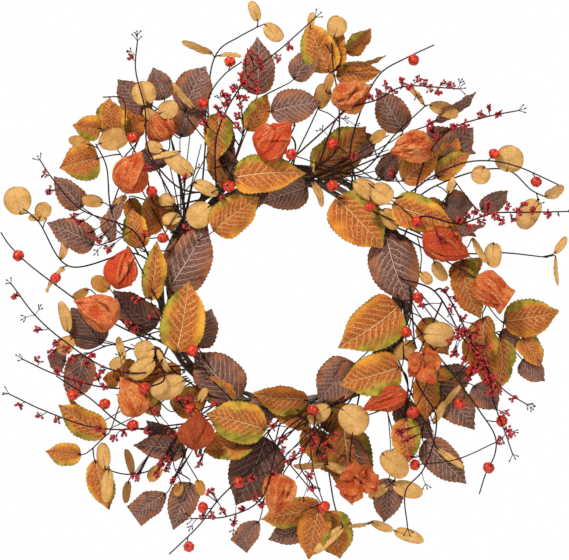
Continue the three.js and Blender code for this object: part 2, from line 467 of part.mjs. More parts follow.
// One pick's stems and twigs, led clear of the obstacles, as solids at a margin.
function pickBars(pick, kind, obstacles) {
  const start = hub(pick.at);
  const bars = [];
  const spindles = [];
  const stems = [];
  const addBar = (points, radius) => {
    const ways = STEM_BENDS.map((bend) => bentForward(points, bend));
    const led = clearest(ways, (way) => bar(way, radius), obstacles);
    bars.push([led, radius]);
    return placesAlong(led);
  };
  const addTwig = (end, ...rest) => {
    const ways = branchPlaces(stems, end).map(({ point }) => [point, end, ...rest]);
    bars.push([clearest(ways, (way) => bar(way, TWIG_RADIUS), obstacles), TWIG_RADIUS]);
  };
  for (const stem of pick.stems ?? []) {
    const points = stem.map(([x, z, f]) => at(x, z, f));
    if (stems.length) points.unshift(branchPlaces(stems, points[0])[0].point);
    else points.unshift(start.point, start.point.clone().addScaledVector(start.heading, HUB_REACH));
    stems.push(addBar(points, STEM_RADIUS));
  }
  for (const row of pick.leaves ?? []) {
    const { length, matrix } = leafBasis(row);
    const along = new THREE.Vector3().setFromMatrixColumn(matrix, 0);
    const base = at(row[0], row[1], row[4]);
    if (pick.stems) {
      addTwig(base, base.clone().addScaledVector(along, MIDRIB * length));
      continue;
    }
    const from = stems.length ? branchPlaces(stems, base)[0] : start;
    stems.push(addBar(stemPoints(from, base, along, MIDRIB * length), STEM_RADIUS));
  }
  for (const row of pick.fruit ?? []) {
    if (kind === "pumpkin") addTwig(at(...row));
    else {
      const ways = branchPlaces(stems, at(...row)).map(({ point }) => [point, at(...row)]);
      spindles.push(clearest(ways, (way) => berrySpindle(...way), obstacles));
    }
  }
  if (pick.husk) {
    const [x0, z0, x1, z1, f] = pick.husk;
    const base = at(x0, z0, f);
    addBar(stemPoints(start, base, at(x1, z1, f).sub(base).normalize(), 2), STEM_RADIUS);
  }
  return (margin) => [
    ...bars.map(([points, radius]) => solidOf(bar(points, radius + margin))),
    ...spindles.map(([from, end]) => solidOf(berrySpindle(from, end, margin))),
  ];
}

const union = (solids) => wasm.Manifold.union(solids);

// The ring's canes: each winds round the middle of the bundle and closes on itself.
function cane(index, margin = 0) {
  const points = [];
  for (let i = 0; i < CANE_STEPS; i++) {
    const a = (2 * Math.PI * i) / CANE_STEPS;
    const b = CANE_TURNS * a + (2 * Math.PI * index) / CANE_COUNT;
    const r = RING_RADIUS + BUNDLE_RADIUS * Math.cos(b);
    points.push(at(r * Math.cos(a), r * Math.sin(a), BUNDLE_RADIUS * Math.sin(b)));
  }
  return bar(points, CANE_RADIUS + margin, { sides: CANE_SIDES, steps: CANE_STEPS, closed: true });
}

// A ring of wire round the bundle, at one place on the ring.
function wireRound(degrees, wireRadius) {
  const a = rad(degrees);
  const tangent = at(-Math.sin(a), Math.cos(a), 0);
  const outward = at(Math.cos(a), Math.sin(a), 0);
  const side = new THREE.Vector3().crossVectors(tangent, outward);
  const centre = outward.clone().multiplyScalar(RING_RADIUS);
  const place = new THREE.Matrix4().makeBasis(outward, side, tangent).setPosition(centre);
  return new THREE.TorusGeometry(TIE_RADIUS, wireRadius, WIRE_SIDES, TIE_STEPS).applyMatrix4(place);
}

// The eye: a wire ring round the bundle at its top, with a small ring at the back for the loop.
function hangerEye(margin = 0) {
  const wireRadius = EYE_WIRE_RADIUS + margin;
  const small = new THREE.TorusGeometry(EYE_RADIUS, wireRadius, WIRE_SIDES, EYE_STEPS);
  small.rotateY(Math.PI / 2).translate(0, -RING_Y, RING_RADIUS + EYE_RISE);
  return solidOf(wireRound(90, wireRadius)).add(solidOf(small));
}

const canes = (margin) => [...Array(CANE_COUNT).keys()].map((index) => cane(index, margin));
const ties = (margin) => TIE_ANGLES.map((degrees) => wireRound(degrees, TIE_WIRE_RADIUS + margin));
const ringParts = (margin) => [...[...canes(margin), ...ties(margin)].map(solidOf), hangerEye(margin)];

// The hanging loop: a bar through the eye, two sides and a round top, in the plane y = 0.
function hangingLoop() {
  const half = LOOP_WIDTH / 2;
  const top = LOOP_WIRE_RADIUS; // the wire's middle above the seat
  const barEnd = LOOP_BAR / 2;
  const shoulder = [LOOP_SHOULDERS / 2, SHOULDER_RISE - LOOP_HEIGHT];
  const points = [[-barEnd, -LOOP_HEIGHT], [barEnd, -LOOP_HEIGHT], shoulder, [half, -half]];
  for (let d = LOOP_ARC_STEP; d < 180; d += LOOP_ARC_STEP) {
    points.push([half * Math.cos(rad(d)), (half + top) * Math.sin(rad(d)) - half]);
  }
  points.push([-half, -half], [-shoulder[0], shoulder[1]]);
  const route = points.map(([x, z]) => new THREE.Vector3(x, 0, z));
  return bar(route, LOOP_WIRE_RADIUS, { sides: LOOP_SIDES, steps: LOOP_STEPS, closed: true });
}

const largest = (solid) =>
  solid.decompose().sort((a, b) => b.volume() - a.volume())[0].simplify(SMALLEST_DETAIL);
const part = new THREE.Group();
const wreath = new THREE.Group();
wreath.position.set(0, RING_Y, RING_Z);
part.add(wreath);

function addMesh(group, name, geometry, look) {
  const [color, roughness, metalness] = COLOURS[look];
  const mesh = new THREE.Mesh(geometry, new THREE.MeshStandardMaterial({ color, roughness, metalness }));
  mesh.name = name;
  group.add(mesh);
}

canes(0).forEach((geometry, i) => addMesh(wreath, `vine_${i + 1}`, geometry, "cane"));
ties(0).forEach((geometry, i) => addMesh(wreath, `tie_wire_${i + 1}`, geometry, "wire"));
addMesh(wreath, "hanger_eye", geometryOf(hangerEye()), "wire");
addMesh(part, "hanging_loop", hangingLoop(), "wire");

// The picks, those that keep their whole shape first: each later one is led and cut clear of those before it.
const picks = [];
function addPicks(name, look, rows, makeBody = null) {
  rows.forEach((row, i) => {
    const leafRows = (row.leaves ?? []).filter((leafRow) => leafRow[6] >= SMALLEST_LEAF);
    const bodyRows = makeBody ? row.fruit ?? [row.husk] : [];
    const bodies = (margin) => bodyRows.map((bodyRow) => solidOf(makeBody(bodyRow, margin)));
    const pointed = look !== "eucalyptus";
    const plates = (margin) => leafRows.map((leafRow) => solidOf(leaf(leafRow, pointed, margin)));
    picks.push({ name: `${name}_${i + 1}`, look, row: { ...row, leaves: leafRows }, bodies, plates });
  });
}
addPicks("physalis", "husk", HUSKS.map((row) => ({ at: row[6], husk: row })), husk);
addPicks("pumpkins", "pumpkin", PUMPKINS, pumpkin);
addPicks("berries", "berry", BERRIES);
addPicks("eucalyptus", "eucalyptus", EUCALYPTUS);
addPicks("orange_leaves", "orange_leaf", ORANGE);
addPicks("brown_leaves", "brown_leaf", BROWN);

const ringRoom = union(ringParts(CLEARANCE));
const unionOfOthers = (pick, key) =>
  union(picks.filter((other) => other !== pick).map((other) => other[key]));
for (const pick of picks) {
  pick.bodyRoom = union(pick.bodies(CLEARANCE));
  pick.plateSolid = union(pick.plates(0));
}
let stemRoom = ringRoom;
for (const pick of picks) {
  const hard = union([stemRoom, unionOfOthers(pick, "bodyRoom")]);
  pick.bars = pickBars(pick.row, pick.look, { hard, leaves: unionOfOthers(pick, "plateSolid") });
  pick.room = union([pick.bodyRoom, ...pick.bars(CLEARANCE)]);
  stemRoom = stemRoom.add(pick.room);
}
let plateRoom = ringRoom;
picks.forEach((pick, i) => {
  const before = union([ringRoom, ...picks.slice(0, i).map((other) => other.room)]);
  let solid = union([...pick.bodies(0), ...pick.bars(0)]).subtract(before);
  if (pick.row.leaves.length) {
    solid = solid.add(pick.plateSolid.subtract(plateRoom).subtract(unionOfOthers(pick, "room")));
    plateRoom = plateRoom.add(union(pick.plates(CLEARANCE)));
  }
  addMesh(wreath, pick.name, geometryOf(largest(solid)), pick.look);
});

export default part;
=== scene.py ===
"""Looks of the harvest door wreath: fabric leaves, papery husks, little pumpkins, berries, canes and wire.

Lengths are in millimetres of the ring's own frame: x to the right, z up, f forward, from the ring's centre.
"""

import itertools
import math

import bpy
import numpy as np
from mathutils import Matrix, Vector


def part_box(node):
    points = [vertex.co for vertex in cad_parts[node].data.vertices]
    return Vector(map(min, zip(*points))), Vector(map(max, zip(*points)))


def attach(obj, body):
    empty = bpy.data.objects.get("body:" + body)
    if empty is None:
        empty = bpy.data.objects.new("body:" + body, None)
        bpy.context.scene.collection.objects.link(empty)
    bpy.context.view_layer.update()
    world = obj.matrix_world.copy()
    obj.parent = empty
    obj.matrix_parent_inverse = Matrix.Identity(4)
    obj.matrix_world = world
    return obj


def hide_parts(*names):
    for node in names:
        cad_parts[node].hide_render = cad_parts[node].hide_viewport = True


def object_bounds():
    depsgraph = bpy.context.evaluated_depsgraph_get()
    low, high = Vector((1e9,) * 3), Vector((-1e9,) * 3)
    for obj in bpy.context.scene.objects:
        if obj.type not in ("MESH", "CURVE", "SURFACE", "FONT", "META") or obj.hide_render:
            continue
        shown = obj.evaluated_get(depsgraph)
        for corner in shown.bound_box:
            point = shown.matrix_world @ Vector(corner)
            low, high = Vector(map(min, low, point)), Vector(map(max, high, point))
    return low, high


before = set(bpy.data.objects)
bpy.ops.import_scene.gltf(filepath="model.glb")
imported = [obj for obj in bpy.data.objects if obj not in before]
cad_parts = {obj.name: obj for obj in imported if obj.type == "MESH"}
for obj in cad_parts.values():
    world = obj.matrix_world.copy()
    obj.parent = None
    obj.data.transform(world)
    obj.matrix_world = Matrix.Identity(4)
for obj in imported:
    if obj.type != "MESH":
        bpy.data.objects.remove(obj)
CAD_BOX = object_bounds()

MM = 0.001
RING_RADIUS = 127
BUNDLE_RADIUS = 8
CANE_RADIUS = 2.6
CANE_COUNT = 5
CANE_TURNS = 3
TIE_ANGLES = [24, 152, 262]
TIE_TURNS = 3.25
TIE_WIRE_RADIUS = 0.7
EYE_WIRE_RADIUS = 0.8
EYE_RADIUS = 3.2
LOOP_WIRE_RADIUS = 1
LOOP_HEIGHT = 38
LOOP_WIDTH = 24
HUB_FRONT = 14.6
HUB_REACH = 14
LANES = itertools.cycle([-7, 0, 7])  # where across the bundle the picks start, in turn
STEM_RADIUS = 0.95
TWIG_RADIUS = 0.62
PETIOLE_RADIUS = 0.75
WIRE_FRONT = 13
WIRE_RISE = 14
FRUIT_RADIUS = 6.5
BERRY_RADIUS = 1.6
BUD_RADIUS = BERRY_RADIUS * 0.62
BUD_SHARE = 0.3
CLUSTER_REACH = 5.4
TUFT_RADIUS = 0.5
STALK_RADIUS = 0.34
FORK_RADIUS = 0.42
TIP_RADIUS = 0.85
LEAF_THICKNESS = 0.35
SMALL_LEAF = 20
FULL_LEAF = 34
TEETH_STEP = 4.4
TOOTH = 1.5
VEINS = 9.5
VEIN_SLOPE = 0.8
VEIN_BOW = 0.9
VEIN_STAGGER = 0.25
HUSK_FLATNESS = 0.78
HUSK_ROWS = 60
HUSK_COLUMNS = 128
MOUTH = 12
CREASES = 5
WRINKLES = 14
PLEATS = 7
PETALS = 5
AMBIENT = 0.38
SKIN, STEM = 0, 1  # a piece's material slots
CAMERA_DISTANCE = 4000
VIEW_WIDTH = 611.7
FILM_WIDTH = 36
FLOOR_RADIUS = 1600
FLOOR_GAP = 350


# Where everything is. Each pick leaves the ring at an angle in degrees, from x towards z.
# A leaf: x, z of its base, x, z of its tip, f of its base, the tip's rise over that, width, roll, look.
# A husk: x, z of its base, x, z of its tip, f, width, angle on the ring, look.
# A point of a stem, a fruit or a fork: x, z, f. A bare wire: x, z of one end, x, z of the other.

ORANGE = [
    {"at": 163, "leaves": [[-198, 175, -228, 178, 24, 6, 28, 0],
        [-186, 168, -190, 208, 20, 6, 38, 20, "gold"], [-160, 164, -172, 192, 16, 0, 34, 30, "rust"],
        [-200, 143, -242, 132, 26, 8, 42, 10], [-156, 45, -165, 88, 30, 6, 30, 20, "green"],
        [-77, 64, -28, 100, 26, 6, 42, 10], [-150, 60, -140, 112, 14, 4, 30, 30, "rust"],
        [-168, 100, -152, 66, 12, 2, 22, 20, "olive"], [-172, 205, -134, 168, 12, 2, 26, 20, "rust"]]},
    {"at": 122, "leaves": [[-55, 122, 22, 126, 36, 8, 42, 5], [-41, 172, -19, 211, 28, 4, 27, 10, "green"],
        [-70, 192, -73, 141, 26, 4, 32, 10, "green"], [-130, 96, -122, 62, 14, 2, 24, 30, "rust"],
        [-62, 110, -84, 160, 16, 2, 20, 40, "dark"]]},
    {"at": 88, "leaves": [[48, 235, 25, 289, 18, 8, 40, 10, "gold"], [52, 237, 57, 288, 14, 4, 28, 15],
        [66, 256, 94, 281, 16, 4, 26, 40, "olive"], [62, 242, 109, 251, 24, 6, 12, 50],
        [55, 232, 104, 237, 12, 2, 26, 10, "bright"], [30, 128, 88, 176, 16, 4, 56, 35, "olive"],
        [126, 119, 166, 150, 24, 6, 30, 10, "red"], [163, 122, 200, 150, 20, 4, 24, 10, "green"],
        [176, 146, 182, 171, 14, 2, 22, 10, "red"], [116, 150, 150, 132, 14, 2, 26, 20, "rust"]]},
    {"at": 48, "leaves": [[115, 93, 181, 72, 36, 6, 40, 5, "gold"], [55, 101, 106, 47, 20, 6, 56, 10],
        [192, 34, 196, 1, 26, 4, 34, 20, "olive"], [188, 26, 208, -30, 34, 8, 32, 25, "rust"],
        [235, -33, 294, -22, 26, 8, 42, 10], [256, -50, 277, -82, 18, 4, 26, 10],
        [212, -27, 222, -97, 34, 4, 44, 45, "rust"], [232, -50, 230, -107, 30, 4, 34, 40, "green"],
        [184, 10, 214, 36, 14, 2, 26, 20, "olive"], [150, 96, 206, 58, 12, 2, 30, 30, "dark"]],
     "wires": [[119, -4, 131, -60], [124, 0, 142, -62], [133, 4, 168, -42], [136, 8, 214, -62],
        [132, 0, 152, -36]]},
    {"at": 354, "leaves": [[123, -17, 58, -61, 30, 8, 54, 5], [124, -82, 59, -101, 36, 8, 46, 5, "green"],
        [150, -92, 152, -140, 26, 4, 30, 10, "rust"], [130, -136, 133, -184, 34, 4, 32, 10, "green"],
        [64, -146, 74, -227, 14, 0, 54, 20, "dark"], [196, -50, 236, -112, 14, 2, 34, 25, "rust"],
        [152, -84, 206, -144, 12, 2, 40, 20, "dark"], [148, -30, 176, -70, 12, 2, 30, 20, "rust"]]},
    {"at": 284, "leaves": [[25, -118, -34, -112, 20, 4, 36, 30, "rust"],
        [-20, -149, -84, -132, 38, 8, 46, 5, "green"], [-34, -166, -88, -172, 24, 2, 38, 25, "folded"],
        [-50, -119, -81, -90, 36, 6, 12, 55, "rust"], [38, -230, -26, -246, 30, 4, 36, 30, "gold"],
        [36, -234, 25, -287, 34, 8, 36, 10, "rust"], [44, -236, 60, -287, 30, 6, 42, 10, "rust"],
        [40, -148, 74, -122, 14, 2, 30, 20, "dark"], [20, -150, 60, -200, 12, 0, 34, 20, "olive"],
        [-10, -120, 28, -150, 12, 0, 30, 20, "rust"]]},
    {"at": 226, "leaves": [[-116, -66, -103, 10, 34, 8, 48, 5, "gold"],
        [-144, -10, -136, 53, 28, 8, 28, 25, "green"], [-178, -96, -196, -94, 26, 4, 18, 10, "rust"],
        [-112, -90, -168, -84, 20, 2, 28, 10, "rust"], [-193, -155, -243, -122, 24, 6, 34, 15, "gold"],
        [-200, -150, -238, -111, 18, 4, 10, 30, "gold"], [-219, -176, -257, -173, 28, 6, 26, 10, "gold"],
        [-205, -182, -189, -235, 22, 6, 30, 10, "gold"], [-180, -78, -148, -106, 14, 2, 30, 20, "rust"],
        [-152, -110, -136, -136, 14, 2, 24, 20, "green"], [-120, -130, -80, -100, 12, 2, 34, 20, "rust"]]},
]
BROWN = [
    {"at": 170, "leaves": [[-218, 90, -249, 123, 18, 6, 28, 10], [-190, 54, -172, 106, 30, 6, 26, 45],
        [-205, 50, -256, 73, 24, 6, 34, 10], [-150, 188, -180, 228, 16, 4, 34, 10],
        [-130, 206, -142, 241, 18, 4, 28, 10], [-112, 166, -106, 200, 14, 2, 26, 10],
        [-150, 176, -176, 200, 10, 2, 28, 20], [-128, 150, -160, 132, 10, 2, 30, 20, "dark"]]},
    {"at": 115, "leaves": [[-108, 194, -86, 242, 22, 6, 42, 10], [-30, 211, -29, 273, 20, 6, 36, 10],
        [-16, 193, 38, 203, 30, 6, 38, 10], [9, 228, 37, 262, 16, 4, 28, 10],
        [-96, 206, -112, 168, 12, 2, 34, 20], [-76, 150, -44, 118, 14, 2, 30, 20, "dark"],
        [-66, 176, -60, 132, 12, 2, 28, 30, "dark"], [-20, 120, -62, 84, 12, 2, 34, 20, "dark"]],
     "wires": [[-113, 78, -137, 135], [-113, 78, -128, 152], [-112, 80, -113, 166], [-110, 80, -102, 170],
        [-108, 82, -90, 158], [-106, 84, -82, 150]]},
    {"at": 75, "leaves": [[25, 112, -25, 95, 12, 2, 36, 20], [127, 172, 101, 215, 22, 6, 36, 10],
        [160, 181, 206, 213, 26, 6, 22, 60], [150, 166, 206, 149, 12, 2, 32, 10, "dark"],
        [211, 87, 240, 108, 20, 4, 22, 10, "dark"], [172, 94, 203, 92, 14, 2, 34, 10, "dark"],
        [178, 56, 214, 72, 22, 4, 16, 40, "dark"], [109, 62, 134, -13, 16, 4, 54, 5],
        [70, 150, 100, 168, 12, 2, 30, 20, "dark"], [104, 120, 124, 152, 14, 2, 26, 20, "dark"],
        [160, 140, 204, 176, 10, 2, 40, 20], [70, 90, 104, 60, 12, 0, 30, 20, "dark"]],
     "wires": [[28, 121, 62, 141], [30, 121, 86, 152], [32, 122, 112, 152], [34, 120, 102, 130],
        [36, 119, 78, 117], [30, 122, 112, 168]]},
    {"at": 346, "leaves": [[76, -78, 36, -119, 12, 2, 46, 10], [166, -102, 206, -148, 22, 4, 40, 10],
        [203, -102, 229, -128, 16, 4, 30, 10], [149, -162, 195, -207, 26, 6, 36, 5],
        [112, -202, 107, -249, 20, 4, 34, 10], [232, -44, 256, -60, 12, 2, 20, 10],
        [256, -74, 280, -98, 14, 2, 26, 10], [78, -80, 52, -118, 12, 0, 36, 20],
        [160, -96, 204, -88, 12, 2, 34, 20, "dark"], [120, -120, 160, -160, 10, 2, 34, 20, "dark"]],
     "wires": [[102, -92, 130, -190], [104, -90, 114, -172], [110, -84, 160, -152], [106, -88, 142, -168]]},
    {"at": 277, "leaves": [[-50, -118, -97, -66, 12, 4, 52, 5],
        [-20, -158, -52, -232, 16, 2, 58, 10, "shade"], [-28, -248, -50, -275, 20, 4, 26, 5, "cut"],
        [32, -246, -18, -268, 20, 2, 30, 10], [-14, -120, -56, -150, 12, 0, 36, 20],
        [60, -160, 96, -214, 10, 0, 34, 20, "dark"]],
     "wires": [[62, -124, 0, -176], [60, -125, -12, -192], [40, -132, -38, -176], [56, -126, 12, -202],
        [50, -128, 24, -216], [-6, -140, -70, -180]]},
    {"at": 234, "leaves": [[-126, 2, -84, 73, 16, 6, 54, 5], [-140, -40, -186, 0, 14, 2, 44, 30, "dark"],
        [-198, -58, -230, -18, 20, 2, 42, 15, "dark"], [-236, -76, -256, -72, 16, 2, 26, 0],
        [-217, -68, -230, -119, 24, 6, 34, 5], [-109, -172, -163, -166, 22, 4, 28, 5],
        [-128, -218, -162, -243, 24, 4, 30, 5, "cut"], [-102, -206, -119, -257, 26, 4, 32, 5],
        [-150, -60, -130, -112, 12, 2, 34, 20, "dark"], [-110, -180, -150, -140, 10, 2, 30, 20, "dark"],
        [-100, -60, -78, -20, 10, 0, 34, 20, "dark"]],
     "wires": [[-100, -98, -190, -149], [-102, -96, -205, -146], [-104, -94, -182, -112],
        [-106, -92, -162, -98], [-108, -88, -152, -60], [-110, -86, -166, -57]]},
]
EUCALYPTUS = [
    {"at": 177, "stems": [[[-160, 40, 30], [-233, 27, 30], [-266, 76, 34], [-286, 92, 34]], [[-165, 52, 26],
        [-186, 85, 32], [-192, 135, 36], [-203, 158, 38]]],
     "leaves": [[-284, 82, -290, 112, 34, 2, 30, 0], [-264, 78, -256, 95, 32, 2, 18, 10],
        [-256, 78, -276, 79, 30, 2, 10, 30], [-241, 33, -236, 57, 30, 2, 9, 20],
        [-238, 26, -258, 0, 28, 4, 18, 65], [-200, 158, -168, 167, 38, 2, 24, 5, "sand"],
        [-210, 157, -232, 163, 36, 2, 13, 10, "sand"], [-195, 95, -218, 98, 30, 2, 14, 10, "sand"],
        [-183, 92, -170, 102, 34, 2, 8, 0, "sand"]]},
    {"at": 156, "stems": [[[-110, 96, 30], [-118, 140, 32], [-130, 188, 36], [-148, 203, 38]]],
     "leaves": [[-80, 92, -103, 72, 26, 2, 28, 0], [-112, 80, -132, 76, 28, 2, 14, 10],
        [-119, 93, -135, 101, 28, 2, 17, 0], [-98, 117, -72, 104, 26, 2, 15, 10],
        [-99, 125, -130, 149, 34, 4, 18, 5], [-112, 150, -146, 143, 36, 2, 7, 30],
        [-131, 152, -150, 158, 38, 2, 13, 0], [-148, 200, -154, 225, 36, 2, 27, 0],
        [-135, 190, -115, 200, 42, 2, 20, 10], [-139, 186, -152, 194, 34, 2, 12, 0]]},
    {"at": 108, "stems": [[[-74, 150, 22], [-80, 235, 30], [-70, 260, 30], [-50, 273, 28], [-28, 285, 26]]],
     "leaves": [[-98, 196, -121, 223, 34, 2, 10, 40], [-78, 255, -111, 268, 28, 2, 10, 40],
        [-72, 253, -47, 253, 34, 2, 8, 50], [-29, 290, -37, 312, 26, 2, 12, 0],
        [-22, 287, -3, 270, 30, 2, 17, 0]]},
    {"at": 81, "stems": [[[54, 150, 28], [58, 200, 32], [52, 240, 30], [50, 272, 28]], [[80, 128, 22],
        [120, 170, 30], [152, 200, 32]]],
     "leaves": [[30, 118, 41, 91, 22, 2, 10, 30], [31, 125, 30, 154, 24, 2, 6, 60],
        [74, 118, 100, 100, 30, 2, 20, 0], [94, 112, 115, 98, 34, 2, 24, 0],
        [92, 160, 108, 172, 28, 2, 12, 0, "sand"], [150, 200, 134, 218, 32, 2, 7, 30, "sand"],
        [155, 200, 186, 188, 34, 2, 16, 0, "sand"], [36, 196, 44, 223, 26, 2, 20, 20, "sand"],
        [44, 214, 50, 234, 30, 2, 10, 0, "sand"], [27, 284, 30, 300, 24, 2, 8, 0],
        [53, 273, 57, 296, 28, 2, 22, 0]]},
    {"at": 41, "stems": [[[160, 112, 28], [218, 131, 34], [243, 128, 36], [265, 108, 36], [282, 100, 36]],
        [[140, 60, 26], [190, 41, 34], [235, 41, 36], [282, 36, 34]]],
     "leaves": [[238, 128, 244, 156, 38, 2, 31, 0], [214, 134, 207, 115, 36, 2, 21, 0],
        [279, 101, 299, 112, 38, 2, 14, 30], [271, 98, 253, 67, 36, 2, 24, 0],
        [224, 52, 224, 25, 37, 2, 19, 0], [201, 57, 216, 30, 40, 2, 8, 30], [289, 40, 302, 58, 36, 2, 9, 20],
        [290, 38, 292, 6, 34, 2, 6, 50], [175, 105, 181, 122, 36, 2, 8, 0], [160, 32, 173, 11, 30, 2, 14, 10],
        [146, 20, 157, 8, 30, 2, 12, 0], [104, 88, 121, 67, 30, 2, 18, 0, "sand"]]},
    {"at": 330, "stems": [[[130, -90, 20], [128, -140, 24], [120, -180, 28], [118, -208, 28]],
        [[136, -110, 24], [160, -130, 30]], [[70, -118, 22], [46, -160, 26], [48, -200, 28], [60, -246, 28],
        [76, -252, 28], [95, -249, 28], [118, -258, 26]]],
     "leaves": [[148, -46, 182, -47, 42, 2, 27, 0], [140, -55, 117, -71, 30, 2, 18, 10, "sand"],
        [104, -174, 130, -198, 38, 2, 26, 5], [116, -208, 148, -218, 32, 2, 18, 0],
        [110, -210, 90, -222, 28, 2, 12, 0], [170, -125, 189, -101, 34, 2, 7, 20],
        [160, -143, 172, -118, 34, 2, 9, 20], [163, -169, 192, -189, 38, 2, 9, 30],
        [60, -126, 86, -150, 34, 2, 32, 0], [48, -124, 26, -141, 30, 2, 20, 0],
        [44, -187, 9, -190, 28, 2, 9, 30], [44, -186, 70, -196, 28, 2, 11, 20],
        [62, -253, 31, -281, 42, 2, 12, 10], [92, -248, 116, -257, 30, 2, 10, 10],
        [118, -258, 149, -269, 28, 2, 14, 10], [92, -250, 68, -253, 28, 2, 6, 40]]},
    {"at": 241, "stems": [[[-112, -92, 26], [-136, -72, 30], [-165, -62, 34], [-176, -70, 36]],
        [[-110, -150, 24], [-140, -190, 30], [-168, -197, 32], [-192, -192, 34]]],
     "leaves": [[-140, -62, -162, -66, 38, 2, 24, 0], [-140, -74, -167, -92, 42, 2, 20, 0],
        [-172, -73, -179, -49, 38, 2, 9, 0], [-172, -72, -188, -82, 38, 2, 12, 0],
        [-108, -96, -144, -110, 32, 2, 26, 0], [-124, -87, -137, -63, 34, 2, 8, 20],
        [-193, -191, -196, -163, 36, 2, 15, 0], [-189, -192, -192, -227, 38, 2, 14, 10],
        [-164, -198, -171, -170, 30, 2, 9, 0, "edge"], [-168, -204, -171, -228, 30, 2, 9, 0, "edge"],
        [-133, -188, -146, -204, 32, 2, 14, 0, "amber"], [-94, -203, -89, -220, 30, 2, 11, 0, "amber"],
        [-112, -206, -117, -220, 36, 2, 10, 0, "amber"], [-92, -119, -84, -104, 36, 2, 9, 0],
        [-188, 2, -207, 14, 34, 2, 18, 10, "amber"], [-211, 2, -228, -7, 32, 2, 10, 20, "amber"],
        [-233, -44, -241, -11, 34, 2, 13, 10], [-228, -50, -243, -66, 36, 2, 18, 0]]},
]
HUSKS = [
    [-153, 150, -172, 105, 48, 40, 149, "flip"], [-169, 47, -180, 2, 46, 36, 200, "flip red"],
    [-123, 164, -145, 194, 30, 36, 143, "dim"], [10, 178, -28, 145, 48, 41, 102, "flip red"],
    [92, 221, 50, 202, 50, 38, 95, "flip tan"], [112, 148, 158, 160, 46, 36, 68, "flip tan"],
    [147, 60, 197, 34, 50, 38, 55, "red dim"], [204, 14, 240, -10, 46, 36, 35, "rim"],
    [140, -60, 157, -96, 52, 36, 6, "star"], [131, -109, 82, -127, 40, 26, 339, "red dim"],
    [70, -184, 85, -225, 46, 44, 311, "star"], [-2, -196, -12, -243, 50, 38, 297],
    [-92, -129, -98, -170, 50, 40, 256, "flip dark"], [-173, -90, -156, -134, 48, 33, 219, "flip"],
    [-178, -30, -226, -9, 50, 40, 209],
]
PUMPKINS = [
    {"at": 213, "stems": [[[-150, -50, 30], [-196, -28, 34], [-240, 2, 36], [-280, 33, 36], [-298, 52, 36],
        [-305, 63, 36]]],
     "fruit": [[-286, 38, 38], [-246, 14, 40]]},
    {"at": 137, "stems": [[[-138, 92, 34], [-150, 130, 40], [-170, 168, 44], [-174, 206, 42],
        [-195, 208, 40]], [[-86, 150, 30], [-82, 207, 38], [-65, 232, 40], [-46, 246, 40]]],
     "fruit": [[-131, 57, 36], [-143, 107, 40], [-163, 164, 46], [-88, 201, 40], [-59, 246, 42],
        [-60, 112, 42]]},
    {"at": 62, "stems": [[[70, 150, 32], [84, 200, 36], [103, 234, 38], [130, 250, 38], [160, 264, 38]],
        [[120, 100, 36], [160, 124, 42], [195, 138, 44], [225, 139, 44], [250, 133, 44], [293, 114, 42]]],
     "fruit": [[138, 248, 38], [7, 146, 52], [51, 158, 40], [51, 113, 38], [91, 90, 44], [141, 74, 50],
        [224, 147, 46], [269, 117, 46]]},
    {"at": 1, "stems": [[[150, -50, 34], [188, -100, 46], [208, -128, 48], [225, -156, 48], [225, -173, 48],
        [214, -198, 48], [208, -217, 48]]],
     "fruit": [[218, -189, 48], [232, -139, 50], [187, -121, 50], [199, -85, 52], [143, -7, 36],
        [130, -44, 44], [137, -130, 46], [139, -186, 50]]},
    {"at": 290, "stems": [[[-12, -170, 40], [-69, -221, 42], [-92, -251, 42], [-124, -282, 42]]],
     "fruit": [[-103, -274, 42], [-88, -232, 42], [-49, -205, 42], [42, -231, 48], [30, -128, 38]]},
    {"at": 249, "stems": [[[-110, -146, 32], [-169, -145, 42], [-210, -114, 46], [-245, -91, 46]]],
     "fruit": [[-227, -111, 48], [-193, -121, 46], [-163, -144, 46], [-150, -104, 56], [-99, -64, 44],
        [-102, -126, 44]]},
]
